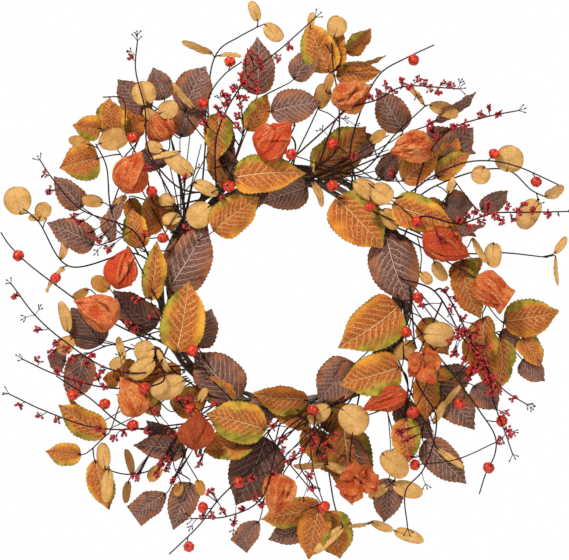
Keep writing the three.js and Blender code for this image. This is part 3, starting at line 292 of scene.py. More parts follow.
BERRIES = [
    {"at": 205, "stems": [[[-140, -84, 40], [-186, -84, 48], [-238, -52, 52], [-267, -26, 52], [-293, 8, 50]],
        [[-130, -96, 44], [-183, -104, 50], [-245, -89, 54], [-280, -73, 54]]],
     "fruit": [[-287, -5, 52], [-263, -42, 52], [-244, -55, 54], [-228, -72, 54], [-196, -85, 52],
        [-264, -75, 56], [-242, -86, 56], [-225, -94, 56], [-201, -92, 54], [-192, -102, 54], [-168, -35, 44],
        [-160, -42, 44], [-143, -27, 44], [-212, -78, 52], [-234, -62, 54], [-250, -66, 54], [-218, -100, 54],
        [-206, -70, 52]],
     "forks": [[-263, -20, 52], [-277, -28, 52], [-176, -70, 48]]},
    {"at": 262, "stems": [[[-107, -142, 44], [-197, -147, 50], [-257, -128, 52], [-295, -110, 52]]],
     "fruit": [[-284, -122, 52], [-262, -134, 52], [-244, -138, 52], [-199, -148, 52], [-182, -156, 50],
        [-120, -152, 48], [-115, -118, 46], [-137, -130, 46], [-123, -182, 46], [-128, -190, 46],
        [-92, -173, 46], [-120, -203, 46], [-159, -199, 42], [-75, -122, 44], [-132, -184, 46],
        [-126, -176, 46], [-138, -196, 46], [-92, -186, 46], [-172, -150, 50], [-148, -150, 50],
        [-104, -118, 46]],
     "forks": [[-55, -255, 50], [-112, -190, 46]]},
    {"at": 184, "stems": [[[-160, 62, 40], [-219, 88, 48], [-250, 122, 50], [-262, 140, 50]]],
     "fruit": [[-257, 125, 50], [-251, 107, 50], [-219, 74, 50], [-210, 62, 50], [-190, 45, 56],
        [-160, -8, 48], [-108, 66, 40], [-226, 80, 50], [-200, 56, 50], [-150, 60, 48]],
     "forks": [[-200, 44, 50]]},
    {"at": 129, "stems": [[[-112, 110, 30], [-146, 150, 40], [-150, 195, 44], [-160, 238, 46],
        [-158, 268, 46]], [[-72, 170, 44], [-40, 228, 50], [0, 263, 50], [33, 293, 48]], [[-56, 140, 46],
        [-45, 170, 48], [-50, 215, 48]]],
     "fruit": [[-165, 251, 48], [-38, 254, 52], [-42, 245, 52], [-26, 239, 52], [-32, 225, 52],
        [-45, 222, 52], [-38, 215, 52], [-55, 217, 52], [-60, 208, 52], [-68, 187, 50], [-86, 180, 48],
        [-47, 197, 52], [-8, 249, 52], [4, 261, 52], [-66, 100, 40], [-146, 132, 52], [-36, 232, 52],
        [-48, 230, 52], [-52, 208, 52], [-42, 206, 52], [-28, 248, 52], [-62, 200, 52], [-72, 194, 50],
        [-50, 188, 52], [-52, 176, 50], [-66, 210, 52], [-30, 216, 52], [-108, 122, 50]],
     "forks": [[-158, 274, 46], [-165, 256, 48], [-82, 190, 50], [-92, 132, 48], [-70, 206, 52]]},
    {"at": 82, "stems": [[[60, 190, 52], [100, 205, 56], [125, 218, 56], [187, 216, 54]]],
     "fruit": [[98, 213, 58], [115, 214, 58], [125, 223, 58], [142, 226, 58], [155, 217, 58], [170, 222, 56],
        [73, 145, 50], [108, 220, 58], [134, 218, 58], [148, 222, 58], [164, 214, 56], [176, 220, 56],
        [90, 206, 56]],
     "forks": [[187, 222, 54], [140, 210, 56], [40, 172, 50], [62, 184, 50], [74, 178, 50]]},
    {"at": 29, "stems": [[[150, 140, 46], [176, 172, 52], [215, 186, 54], [250, 193, 54]], [[150, 80, 54],
        [185, 72, 60], [222, 83, 60], [255, 84, 58], [302, 85, 56]]],
     "fruit": [[157, 172, 52], [192, 178, 54], [209, 188, 56], [228, 190, 56], [202, 85, 60], [238, 90, 60],
        [255, 92, 58], [209, 74, 60], [223, 80, 62], [243, 77, 60], [281, 83, 58], [165, 55, 68],
        [115, 127, 54], [218, 90, 60], [230, 76, 60], [212, 82, 60], [248, 84, 58], [264, 86, 58],
        [194, 80, 60], [180, 176, 54], [218, 194, 54], [162, 166, 52], [156, 178, 52], [186, 74, 60],
        [196, 68, 60]],
     "forks": [[270, 92, 58], [292, 84, 58], [180, 60, 60]]},
    {"at": 13, "stems": [[[160, 0, 40], [190, -50, 52], [216, -84, 58], [222, -115, 58], [236, -154, 58],
        [243, -174, 58]], [[168, 2, 50], [206, -66, 60], [232, -104, 60], [258, -121, 58]], [[140, -90, 34],
        [162, -136, 48], [148, -190, 58], [129, -213, 58], [131, -254, 56]]],
     "fruit": [[178, -18, 50], [193, -45, 54], [204, -45, 58], [183, -67, 54], [193, -73, 58], [211, -84, 62],
        [219, -98, 62], [230, -160, 58], [241, -154, 60], [244, -113, 60], [170, 2, 48], [180, -8, 52],
        [147, -15, 44], [205, -36, 60], [213, -60, 62], [181, -67, 52], [122, -150, 60], [186, -40, 56],
        [198, -56, 58], [206, -68, 60], [214, -76, 62], [222, -92, 62], [226, -106, 62], [190, -30, 54],
        [176, -54, 54], [200, -80, 60], [234, -130, 60], [238, -148, 60], [128, -160, 60], [134, -176, 60],
        [190, -42, 58], [198, -50, 60], [184, -48, 58], [205, -58, 60], [203, -82, 62], [213, -94, 62],
        [196, -92, 60], [220, -108, 60], [208, -74, 62]],
     "forks": [[243, -150, 60], [262, -124, 58], [150, -206, 58], [176, -24, 52]]},
    {"at": 304, "stems": [[[0, -150, 44], [-26, -222, 62], [-60, -240, 60], [-99, -243, 58]], [[30, -150, 42],
        [16, -186, 46], [30, -208, 50]]],
     "fruit": [[-76, -240, 60], [-55, -246, 60], [-14, -144, 48], [4, -181, 48], [32, -154, 44],
        [52, -155, 44], [-79, -215, 58], [-35, -200, 56], [-31, -221, 62], [30, -210, 52], [-45, -234, 62],
        [-2, -158, 46], [10, -176, 48], [20, -170, 46], [30, -164, 46], [42, -160, 46], [40, -176, 48],
        [26, -196, 50], [-2, -170, 48], [50, -168, 46], [-66, -236, 60], [-88, -240, 60], [-24, -226, 62],
        [-14, -196, 54]],
     "forks": [[-99, -250, 58], [20, -220, 52], [60, -176, 46]]},
]


def at(x, z, f):
    return np.array([x, -f, z], float)


def unit(v):
    return v / max(np.linalg.norm(v), 1e-9)


class Piece:
    """The vertices, faces and point attributes of one piece."""

    def __init__(self):
        self.points, self.faces, self.slots = [], [], []
        self.place, self.look = [], []
        self.count = 0

    def add(self, points, faces, slot, place, look=(0, 0, 0)):
        n = len(points)
        self.points.append(points)
        self.faces += [[i + self.count for i in face] for face in faces]
        self.slots += [slot] * len(faces)
        self.place.append(np.broadcast_to(place, (n, 3)))
        self.look.append(np.broadcast_to(look, (n, 3)))
        self.count += n

    def build(self, name, materials, nodes, body="wreath"):
        mesh = bpy.data.meshes.new(name)
        points = (np.concatenate(self.points) + RING_CENTRE) * MM
        mesh.from_pydata(points.tolist(), [], self.faces)
        for key, rows in (("place", self.place), ("look", self.look)):
            attribute = mesh.attributes.new(key, "FLOAT_VECTOR", "POINT")
            attribute.data.foreach_set("vector", np.concatenate(rows).astype(np.float32).ravel())
        for material in materials:
            mesh.materials.append(MATERIALS[material])
        mesh.polygons.foreach_set("material_index", self.slots)
        mesh.shade_smooth()
        mesh.update()
        made = bpy.data.objects.new(name, mesh)
        bpy.context.scene.collection.objects.link(made)
        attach(made, body)
        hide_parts(*nodes)


def quads(rows, columns, first=0, wrap=False):
    """The faces of a grid of points, in rows; wrap joins each row's end to its start."""
    steps = columns if wrap else columns - 1
    return [
        (first + i * columns + j, first + i * columns + (j + 1) % columns,
         first + (i + 1) * columns + (j + 1) % columns, first + (i + 1) * columns + j)
        for i in range(rows - 1) for j in range(steps)
    ]


def smooth(points, step=3.0):
    """A centripetal Catmull-Rom curve through the points, sampled about every step."""
    p = np.array(points, float)
    p = np.concatenate([[2 * p[0] - p[1]], p, [2 * p[-1] - p[-2]]])
    out = [p[1:2]]
    for a, b, c, d in zip(p, p[1:], p[2:], p[3:]):
        ta, tb, tc = (max(np.linalg.norm(v), 1e-6) ** 0.5 for v in (b - a, c - b, d - c))
        k0, k1, k2, k3 = 0, ta, ta + tb, ta + tb + tc
        n = max(1, math.ceil(np.linalg.norm(c - b) / step))
        t = np.linspace(k1, k2, n + 1)[1:, None]
        a1 = (k1 - t) / (k1 - k0) * a + (t - k0) / (k1 - k0) * b
        a2 = (k2 - t) / (k2 - k1) * b + (t - k1) / (k2 - k1) * c
        a3 = (k3 - t) / (k3 - k2) * c + (t - k2) / (k3 - k2) * d
        b1 = (k2 - t) / (k2 - k0) * a1 + (t - k0) / (k2 - k0) * a2
        b2 = (k3 - t) / (k3 - k1) * a2 + (t - k1) / (k3 - k1) * a3
        out.append((k2 - t) / (k2 - k1) * b1 + (t - k1) / (k2 - k1) * b2)
    return np.concatenate(out)


def tangents(path, closed):
    if closed:
        d = np.roll(path, -1, axis=0) - np.roll(path, 1, axis=0)
    else:
        d = np.gradient(path, axis=0)
    return d / np.maximum(np.linalg.norm(d, axis=1, keepdims=True), 1e-9)


def side_frames(path, closed):
    """The heading at each point and two directions square to it, which turn as little as they can."""
    t = tangents(path, closed)
    start = np.cross(t[0], [0.1, 1.0, 0.05])
    normals = []
    for direction in t:
        start = unit(start - direction * (start @ direction))
        normals.append(start)
    if closed:
        # The turn left over after one lap is spread along the whole path.
        last = unit(normals[-1] - t[0] * (normals[-1] @ t[0]))
        turn = math.atan2(np.cross(last, normals[0]) @ t[0], last @ normals[0])
        for i, direction in enumerate(t):
            a = turn * i / len(path)
            n = normals[i]
            normals[i] = n * math.cos(a) + np.cross(direction, n) * math.sin(a)
    normals = np.array(normals)
    return t, normals, np.cross(t, normals)


def tube(piece, path, radius, slot, sides, closed=False, lumps=1):
    """A tube along a path with blunt ends; radius may change along it, and lumps scale it round and along."""
    n = len(path)
    t, across, up = side_frames(path, closed)
    a = np.linspace(0, 2 * math.pi, sides, endpoint=False)
    radii = np.broadcast_to(radius, n)[:, None] * lumps
    ring = np.cos(a)[None, :, None] * across[:, None] + np.sin(a)[None, :, None] * up[:, None]
    points = (path[:, None] + radii[..., None] * ring).reshape(-1, 3)
    length = np.concatenate([[0], np.cumsum(np.linalg.norm(np.diff(path, axis=0), axis=1))])
    place = np.stack([np.repeat(length, sides), np.tile(a, n), np.zeros(n * sides)], 1)
    faces = quads(n, sides, wrap=True)
    last = (n - 1) * sides
    around = [(j, (j + 1) % sides) for j in range(sides)]
    if closed:
        faces += [(last + j, last + k, k, j) for j, k in around]
    else:
        caps = [path[0] - t[0] * np.mean(radii[0]) * 0.7, path[-1] + t[-1] * np.mean(radii[-1]) * 0.7]
        points = np.concatenate([points, caps])
        place = np.concatenate([place, [[0, 0, 0], [length[-1], 0, 0]]])
        faces += [(k, j, n * sides) for j, k in around]
        faces += [(last + j, last + k, n * sides + 1) for j, k in around]
    piece.add(points, faces, slot, place)


def even(polar, turn):
    return np.ones(np.broadcast(polar, turn).shape)


def ball(piece, centre, radius, slot, axis, rows, columns, squash, look=(0, 0, 0), profile=even):
    """A ball squashed along its axis, out to the share of its radius that profile(polar, turn) gives."""
    w = unit(np.array(axis, float))
    u = unit(np.cross(w, [0.3, 1, 0.2]))
    v = np.cross(w, u)
    polar = np.linspace(0, math.pi, rows + 2)[1:-1, None]
    turn = np.linspace(0, 2 * math.pi, columns, endpoint=False)[None]
    share = profile(polar, turn)
    out = (radius * share * np.sin(polar))[..., None] * (
        np.cos(turn)[..., None] * u + np.sin(turn)[..., None] * v)
    body = out + (radius * squash * share * np.cos(polar))[..., None] * w
    ends = [0.0, math.pi]
    tip = [float(np.mean(profile(np.array([[p]]), turn))) for p in ends]
    points = np.concatenate([
        body.reshape(-1, 3), [w * radius * squash * tip[0]], [-w * radius * squash * tip[1]]]) + centre
    depth = np.concatenate([share.ravel(), tip])
    place = np.stack([np.append(np.repeat(polar, columns), ends),
                      np.append(np.tile(turn, rows), [0, 0]), depth], 1)
    n = rows * columns
    last = n - columns
    around = [(j, (j + 1) % columns) for j in range(columns)]
    faces = [face[::-1] for face in quads(rows, columns, wrap=True)]
    faces += [(j, k, n) for j, k in around]
    faces += [(last + k, last + j, n + 1) for j, k in around]
    piece.add(points, faces, slot, place, look)


# Leaves

# How a leaf of each look is coloured and bent: share of green, darkness, warmth, arch, fold and ripple.
# A look's darkness is partly a leaf's own deeper colour and partly painted shade on leaves deep in the
# wreath.
LOOKS = {
    "": (0.3, 0.0, 0.55, 0.1, 0.24, 1.3),
    "green": (0.85, 0.0, 0.35, 0.1, 0.24, 1.3),
    "gold": (0.25, 0.0, 0.05, 0.1, 0.22, 1.3),
    "bright": (0.1, 0.0, 0.3, 0.1, 0.24, 1.3),
    "red": (0.15, 0.05, 1.0, 0.1, 0.28, 1.4),
    "rust": (0.1, 0.22, 1.0, 0.12, 0.28, 1.5),
    "olive": (0.5, 0.3, 0.85, 0.1, 0.3, 1.3),
    "dark": (0.3, 0.5, 0.8, 0.07, 0.22, 1.2),
    "shade": (0.3, 0.8, 0.8, 0.07, 0.22, 1.2),
    "folded": (0.4, 0.1, 0.5, 0.12, 0.7, 1.5),
    "cut": (0.2, 0.0, 0.5, 0.03, 0.1, 0.7),
    "tan": (0.0, 0.0, 0.0, 0.06, 0.1, 0.9),
    "sand": (0.0, 0.08, 0.4, 0.08, 0.14, 1.0),
    "amber": (0.0, 0.0, 0.85, 0.06, 0.14, 1.0),
    "edge": (0.0, 0.7, 0.6, 0.06, 0.14, 1.0),
    "petal": (0.3, 0.1, 0.5, 0.16, 0.8, 1.8),
}
OVATE = [[0, 0.03], [0.025, 0.38], [0.08, 0.7], [0.17, 0.92], [0.28, 1.0], [0.4, 1.0], [0.54, 0.96],
         [0.67, 0.84], [0.77, 0.65], [0.85, 0.42], [0.91, 0.23], [0.96, 0.11], [1, 0.01]]


def pointed(s):
    """The half width of a full leaf with a drawn-out tip, as a share of its widest."""
    known = np.array(OVATE)
    return np.interp(s, known[:, 0], known[:, 1])


def rounded(s):
    return np.sqrt(np.maximum(0, 1 - (2 * s - 1) ** 2)) ** 0.92


def square(s):
    """A leaf cut straight across its tip."""
    return np.minimum(1, (s / 0.4) ** 0.6) * (1 - 0.12 * s)


def blade(piece, row, rng, outline=pointed, toothed=True, plain=""):
    """A cupped leaf with toothed, rippled margins and sunk veins, as a thin closed shell."""
    x0, z0, x1, z1, f, rise, width, roll = row[:8]
    look = row[8] if len(row) > 8 else plain
    green, dark, warmth, arch, fold, ripple = LOOKS[look]
    if look == "cut":
        outline = square
    base, tip = at(x0, z0, f), at(x1, z1, f + rise)
    length = np.linalg.norm(tip - base)
    u = unit(tip - base)
    v = unit(np.cross([0, -1, 0], u))
    a = math.radians(roll) * rng.choice([-1, 1])
    v = v * math.cos(a) + np.cross(u, v) * math.sin(a)
    n = np.cross(u, v)
    steps = 4 * max(5, round(length / TEETH_STEP)) + 1
    columns = 19 if width > SMALL_LEAF else 11
    s = np.linspace(0, 1, steps)[:, None]
    q = np.linspace(-1, 1, columns)[None]
    half = width / 2 * np.maximum(outline(s ** rng.uniform(0.88, 1.12)), 0.012)
    if toothed:
        phase = np.arange(steps)[:, None] % 4 / 4
        half = half + TOOTH * (phase - 0.35) * min(1, width / FULL_LEAF) * np.clip(8 * s * (1 - s), 0, 1)
        half = np.maximum(half, 0.15)
    y = q * half
    height = leaf_height(rng, s, q, y, length, width, arch, fold, ripple)
    if toothed:
        height = with_pillows(height, s, q, y, length, width)
    sway = 0.04 * length * np.sin(math.pi * s) * rng.uniform(-1, 1)
    twist = math.radians(14) * rng.uniform(-1, 1) * (s - 0.3)
    across = (y + sway) * np.cos(twist) - height * np.sin(twist)
    height = (y + sway) * np.sin(twist) + height * np.cos(twist)
    top = base + (s * length * np.ones_like(q))[..., None] * u + across[..., None] * v + height[..., None] * n
    normal = np.cross(np.gradient(top, axis=0), np.gradient(top, axis=1))
    normal /= np.maximum(np.linalg.norm(normal, axis=2, keepdims=True), 1e-9)
    bottom = top - normal * LEAF_THICKNESS
    place = np.stack([s * np.ones_like(q), y / length, np.abs(q) * np.ones_like(s)], 2).reshape(-1, 3)
    points = np.concatenate([top.reshape(-1, 3), bottom.reshape(-1, 3)])
    tone = float(np.clip(warmth + rng.uniform(-0.25, 0.25), 0, 1))
    shade = (green * rng.uniform(0.75, 1.2), dark * rng.uniform(0.85, 1.1), tone)
    piece.add(points, shell(steps, columns), SKIN, np.concatenate([place, place]), shade)


def leaf_height(rng, s, q, y, length, width, arch, fold, ripple):
    """Height over a leaf's plane: arch and curl along it, fold across it, rippled margins and dents."""
    side = np.sign(q)
    turns = rng.uniform(0, 2 * math.pi, 6)
    arch = arch * rng.uniform(0.5, 1.5)
    curl = rng.uniform(-0.6, 1.2)
    height = -arch * length * ((2 * s - 1) ** 2 * 0.8 - 0.4) - curl * 0.06 * length * s ** 4
    height = height + fold * rng.uniform(0.7, 1.3) * np.abs(y) * (1 - 0.5 * s)
    height = height - 0.012 * y ** 2 * rng.uniform(-0.4, 1.5)
    wave = np.sin(2 * math.pi * (1.9 * s + 0.15 * side) + turns[0] + side * turns[1])
    height = height + ripple * 1.5 * wave * np.abs(q) ** 2 * min(1, width / 30)
    height = height + 0.5 * ripple * np.sin(2 * math.pi * 4.6 * s + turns[2] + side) * np.abs(q) ** 3
    dent = np.sin(0.16 * s * length + turns[3]) * np.sin(0.2 * y + turns[4])
    return height + 0.8 * ripple * dent * min(1, width / FULL_LEAF)


def with_pillows(height, s, q, y, length, width):
    """The height with pillows between the side veins and a groove along the midrib."""
    lateral = np.abs(y) / length
    phase = (s - VEIN_SLOPE * lateral - VEIN_BOW * lateral ** 2) * VEINS + VEIN_STAGGER * np.sign(q)
    pillow = np.abs(np.sin(math.pi * phase)) ** 0.6
    height = height + 0.75 * pillow * np.sin(math.pi * np.clip(np.abs(q), 0, 1)) * min(1, width / 30)
    return height - 0.8 * np.exp(-(y / 1.6) ** 2) * (1 - s)


def shell(rows, columns):
    """The faces of a thin closed sheet: a grid of points, the same grid on its back, and the rim between."""
    count = rows * columns
    faces = [face[::-1] for face in quads(rows, columns)]
    faces += quads(rows, columns, first=count)
    for i in range(rows - 1):
        a0, a1 = i * columns, (i + 1) * columns
        faces.append((a0, a1, count + a1, count + a0))
        b0, b1 = a0 + columns - 1, a1 + columns - 1
        faces.append((b1, b0, count + b0, count + b1))
    for j in range(columns - 1):
        faces.append((j + 1, j, count + j, count + j + 1))
        e = (rows - 1) * columns + j
        faces.append((e, e + 1, count + e + 1, count + e))
    return faces


# Husks

LANTERN = [[0, 0.12], [0.04, 0.36], [0.12, 0.76], [0.24, 0.96], [0.38, 1.0], [0.54, 0.9], [0.7, 0.66],
           [0.83, 0.38], [0.93, 0.14], [1, 0.015]]
FLARED = [[0, 0.12], [0.04, 0.42], [0.12, 0.8], [0.26, 1.0], [0.42, 1.0], [0.58, 0.93], [0.7, 0.84],
          [0.8, 0.78], [0.9, 0.8], [1, 0.84]]


def crease(away, width, crest):
    """A sharp valley, and a softer ridge beside it, with its crest that many widths away."""
    ridge = 0.5 * np.exp(-np.abs(away - crest * width) / ((crest - 0.7) * width))
    return ridge - np.exp(-np.abs(away) / width)


def creases(points, axis, side, rng, size, count, depth, width):
    """Creases where planes along the husk, mostly square to a side, cut its skin."""
    height = np.zeros(points.shape[:-1])
    for _ in range(count):
        normal = unit(side + np.cross(axis, side) * rng.uniform(-1.2, 1.2) + axis * rng.uniform(-0.55, 0.55))
        bend = np.sin(points @ (rng.normal(size=3) * 0.1) + rng.uniform(0, 6)) * 2.2
        away = points @ normal - rng.uniform(-0.42, 0.42) * size + bend
        height += depth * rng.uniform(0.3, 1.0) * crease(away, width, 2.4)
    return height


def pleats(s, a, radius, rng, count, depth, width):
    """Creases that run from end to end of a husk and draw together at both."""
    height = np.zeros(radius.shape)
    for _ in range(count):
        run = rng.uniform(0, 2 * math.pi) + rng.uniform(-0.5, 0.5) * np.sin(3 * s + rng.uniform(0, 6))
        away = np.abs((a - run + math.pi) % (2 * math.pi) - math.pi) * radius
        strength = depth * rng.uniform(0.35, 1.0)
        strength = strength * np.clip(1.3 * np.sin(math.pi * s + rng.uniform(-0.5, 0.5)), 0, 1)
        height += strength * crease(away, width, 2.2)
    return height


def husk(piece, row, rng, look, flip=False, crumple=1.0, flared=False):
    """A papery lantern: five ribs with sunk, crumpled panels, drawn in to a beak or open at a rim."""
    x0, z0, x1, z1, f, width = row[:6]
    base, tip = at(x0, z0, f), at(x1, z1, f)
    if flip:
        base, tip = tip, base
    length = np.linalg.norm(tip - base)
    u = unit(tip - base)
    v = unit(np.cross([0, -1, 0], u))
    n = np.cross(u, v)
    s = np.linspace(0, 1, HUSK_ROWS)[:, None]
    a = np.linspace(0, 2 * math.pi, HUSK_COLUMNS, endpoint=False)[None]
    known = np.array(FLARED if flared else LANTERN)
    radius = width / 2 * np.interp(s ** rng.uniform(0.85, 1.15), known[:, 0], known[:, 1])
    turn = a + rng.uniform(0, 2 * math.pi) + rng.uniform(-0.7, 0.7) * s ** 2
    rib = 1 - np.abs(np.sin(2.5 * turn)) ** 0.8
    sunk = (0.26 + 0.1 * np.sin(2 * turn)) * (1 - rib) * (0.4 + 0.6 * np.sin(math.pi * s ** 0.8))
    radius = radius * (1.08 - sunk)
    sway = np.sin(math.pi * s) * rng.uniform(-2, 2) + 4.0 * s ** 4 * rng.uniform(-1, 1)
    ring = np.cos(a)[..., None] * v + HUSK_FLATNESS * np.sin(a)[..., None] * n
    local = (s * length * np.ones_like(a))[..., None] * u + radius[..., None] * ring
    middle = local - u * length / 2
    height = pleats(s, a, radius, rng, PLEATS, 2.8 * crumple, 1.1)
    height = height + creases(middle, u, v, rng, width, CREASES, 2.8 * crumple, 1.0)
    height = height + creases(middle, u, v, rng, width, WRINKLES, 1.1 * crumple, 0.5)
    height = height + creases(middle, u, n, rng, width, CREASES // 2, 1.2 * crumple, 0.9)
    height = height * np.sin(math.pi * np.clip(s, 0.03, 0.75 if flared else 0.97)) ** 0.6
    small = np.abs(np.sin(turn * 9 + 5 * np.sin(7 * s + rng.uniform(0, 6)))) - 0.5
    height = height + 0.22 * crumple * small * np.sin(math.pi * s)
    height = np.maximum(height, -0.55 * radius)
    points = base + local + sway[..., None] * v + height[..., None] * ring
    place = np.stack([s * np.ones_like(a), rib * np.ones_like(s), height], 2).reshape(-1, 3)
    end = points[-1].mean(0) + u * (-MOUTH if flared else 0.4)
    points = np.concatenate([points.reshape(-1, 3), [points[0].mean(0)], [end]])
    place = np.concatenate([place, [[0, 0, 0], [1, 1, 0]]])
    count = HUSK_ROWS * HUSK_COLUMNS
    last = count - HUSK_COLUMNS
    around = [(j, (j + 1) % HUSK_COLUMNS) for j in range(HUSK_COLUMNS)]
    faces = quads(HUSK_ROWS, HUSK_COLUMNS, wrap=True)
    faces += [(k, j, count) for j, k in around]
    faces += [(last + j, last + k, count + 1) for j, k in around]
    piece.add(points, faces, SKIN, place, look)


def open_husk(piece, row, rng):
    """A lantern that has split open: folded papery petals round a small crumpled middle."""
    x0, z0, x1, z1, f, width = row[:6]
    centre = at((x0 + x1) / 2, (z0 + z1) / 2, f)
    reach = math.hypot(x1 - x0, z1 - z0) / 2
    turn = rng.uniform(0, 2 * math.pi)
    for i in range(PETALS):
        a = turn + 2 * math.pi * i / PETALS + rng.uniform(-0.2, 0.2)
        out = at(math.cos(a), math.sin(a), 0)
        start, tip = centre + out * 2, centre + out * reach * rng.uniform(0.95, 1.25)
        rise = [f + rng.uniform(2, 5), rng.uniform(-8, 6)]
        petal = [start[0], start[2], tip[0], tip[2], *rise, width * 0.62, rng.uniform(0, 30), "petal"]
        blade(piece, petal, rng, toothed=False)
    x, z = x1 - x0, z1 - z0
    middle = [x0 + x * 0.25, z0 + z * 0.25, x0 + x * 0.8, z0 + z * 0.8, f, width * 0.55]
    husk(piece, middle, rng, (0.3, 0.3, 0), crumple=1.3)


# Little pumpkins and berries

def pumpkin(piece, centre, axis, rng):
    lobes = int(rng.choice([6, 7, 8]))
    start = rng.uniform(0, 6)

    def profile(polar, turn):
        groove = np.abs(np.cos(lobes / 2 * turn + start)) ** 0.5
        depth = 0.2 * np.sin(polar) ** 0.5
        dimple = 0.3 * np.exp(-(polar / 0.3) ** 2) + 0.3 * np.exp(-((math.pi - polar) / 0.3) ** 2)
        return 1 - depth * (1 - groove) - dimple
    tone = (rng.uniform(0, 1), 0, 0)
    radius = FRUIT_RADIUS * rng.uniform(0.95, 1.06)
    ball(piece, centre, radius, SKIN, axis, rows=22, columns=40, squash=0.92, look=tone, profile=profile)


def cluster(piece, centre, start, rng, berries):
    """A tuft of berries and buds on fine stalks that fan out from a twig."""
    out = unit(centre - start)
    middle = (start + centre) / 2 + rng.normal(size=3) * 1.2
    path = smooth([start, middle, centre], 2.5)
    tube(piece, path, TUFT_RADIUS, STEM, 5)
    for _ in range(berries):
        away = unit(rng.normal(size=3) + out * 0.45)
        end = centre + away * CLUSTER_REACH * rng.uniform(0.4, 1.0)
        foot = path[rng.integers(len(path) // 2, len(path))]
        stalk = smooth([foot, (foot + end) / 2 + rng.normal(size=3) * 0.5, end], 2.5)
        tube(piece, stalk, STALK_RADIUS, STEM, 4)
        if rng.uniform() < BUD_SHARE:
            ball(piece, end, BUD_RADIUS, SKIN, away, 4, 7, 1.9, (rng.uniform(0, 1), 0.45, 0))
        else:
            radius = BERRY_RADIUS * rng.uniform(0.8, 1.12)
            ball(piece, end, radius, SKIN, away, 5, 8, 1.08, (rng.uniform(0, 1), 0, 0))


def fork(piece, end, heading, rng, size):
    """Three bare twigs with a bud at each tip, at a spray's end."""
    for spread in (-0.8, 0.15, 0.9):
        way = heading + spread * unit(np.cross(heading, [0, 1, 0])) + rng.normal(size=3) * 0.15
        tip = end + unit(way) * size * rng.uniform(0.6, 1.1)
        tube(piece, smooth([end, (end + tip) / 2 + rng.normal(size=3) * 0.3, tip], 2), FORK_RADIUS, STEM, 4)
        ball(piece, tip, TIP_RADIUS, STEM, way, 3, 6, 1.6)


# Stems

class Stems:
    """The stems of one pick, with the places where a branch may leave them."""

    def __init__(self, piece, degrees):
        a = math.radians(degrees)
        r = RING_RADIUS + next(LANES)
        self.piece = piece
        self.start = at(r * math.cos(a), r * math.sin(a), HUB_FRONT)
        self.heading = unit(at(math.sin(a) + 0.25 * math.cos(a), -math.cos(a) + 0.25 * math.sin(a), 0.5))
        self.paths = []

    def nearest(self, end, back=0.6):
        """A place and heading on the stems from which a branch to the end leaves, some way back from it."""
        _, k = min((np.linalg.norm(path - end, axis=1).min(), k) for k, path in enumerate(self.paths))
        path = self.paths[k]
        far = np.linalg.norm(path - end, axis=1)
        i = int(far.argmin())
        run = np.linalg.norm(path[1] - path[0])
        i = max(1, i - round(back * far[i] / max(run, 1e-6)))
        return path[i], unit(path[i] - path[i - 1])

    def add(self, path, radius):
        tube(self.piece, path, radius * np.linspace(1.1, 0.75, len(path)), STEM, 7)
        self.paths.append(path)

    def along(self, points):
        """A stem along its own points, from the ring or from an earlier stem."""
        points = [at(*p) for p in points]
        if self.paths:
            points.insert(0, self.nearest(points[0])[0])
        else:
            points[:0] = [self.start, self.start + self.heading * HUB_REACH]
        self.add(smooth(points), STEM_RADIUS)

    def to(self, base, direction, inside, radius=PETIOLE_RADIUS):
        """A nearly straight stem that bends into what it carries over its last stretch."""
        place, heading = self.nearest(base) if self.paths else (self.start, self.heading)
        reach = np.linalg.norm(base - place)
        leaving = place + (base - place) * 0.4 + heading * 0.06 * reach
        arriving = base - direction * min(7, 0.3 * reach)
        t = np.linspace(0, 1, max(4, round(reach / 3)))[:, None]
        curve = (1 - t) ** 3 * place + 3 * t * (1 - t) ** 2 * leaving
        curve = curve + 3 * t ** 2 * (1 - t) * arriving + t ** 3 * base
        self.add(np.concatenate([curve, [base + direction * inside]]), radius)

    def twig(self, end, *rest, radius=TWIG_RADIUS):
        """A thin branch to the end and on through the rest of its points; gives the place that it leaves."""
        place, heading = self.nearest(end)
        middle = place * 0.5 + end * 0.5 + heading * np.linalg.norm(end - place) * 0.07
        tube(self.piece, smooth([place, middle, end, *rest]), radius, STEM, 6)
        return place

    def wire(self, start, end, rng):
        """A bare wired twig from the ring, bowed a little."""
        bow = rng.normal(size=3) * 0.03 * np.linalg.norm(end - start)
        path = smooth([start, (start + end) / 2 + bow, end])
        tube(self.piece, path, TWIG_RADIUS * np.linspace(1.3, 0.8, len(path)), STEM, 6)


# Materials

def colour(code):
    """A hex colour as linear RGBA."""
    parts = [int(code[i:i + 2], 16) / 255 for i in (1, 3, 5)]
    return [c / 12.92 if c <= 0.04045 else ((c + 0.055) / 1.055) ** 2.4 for c in parts] + [1]


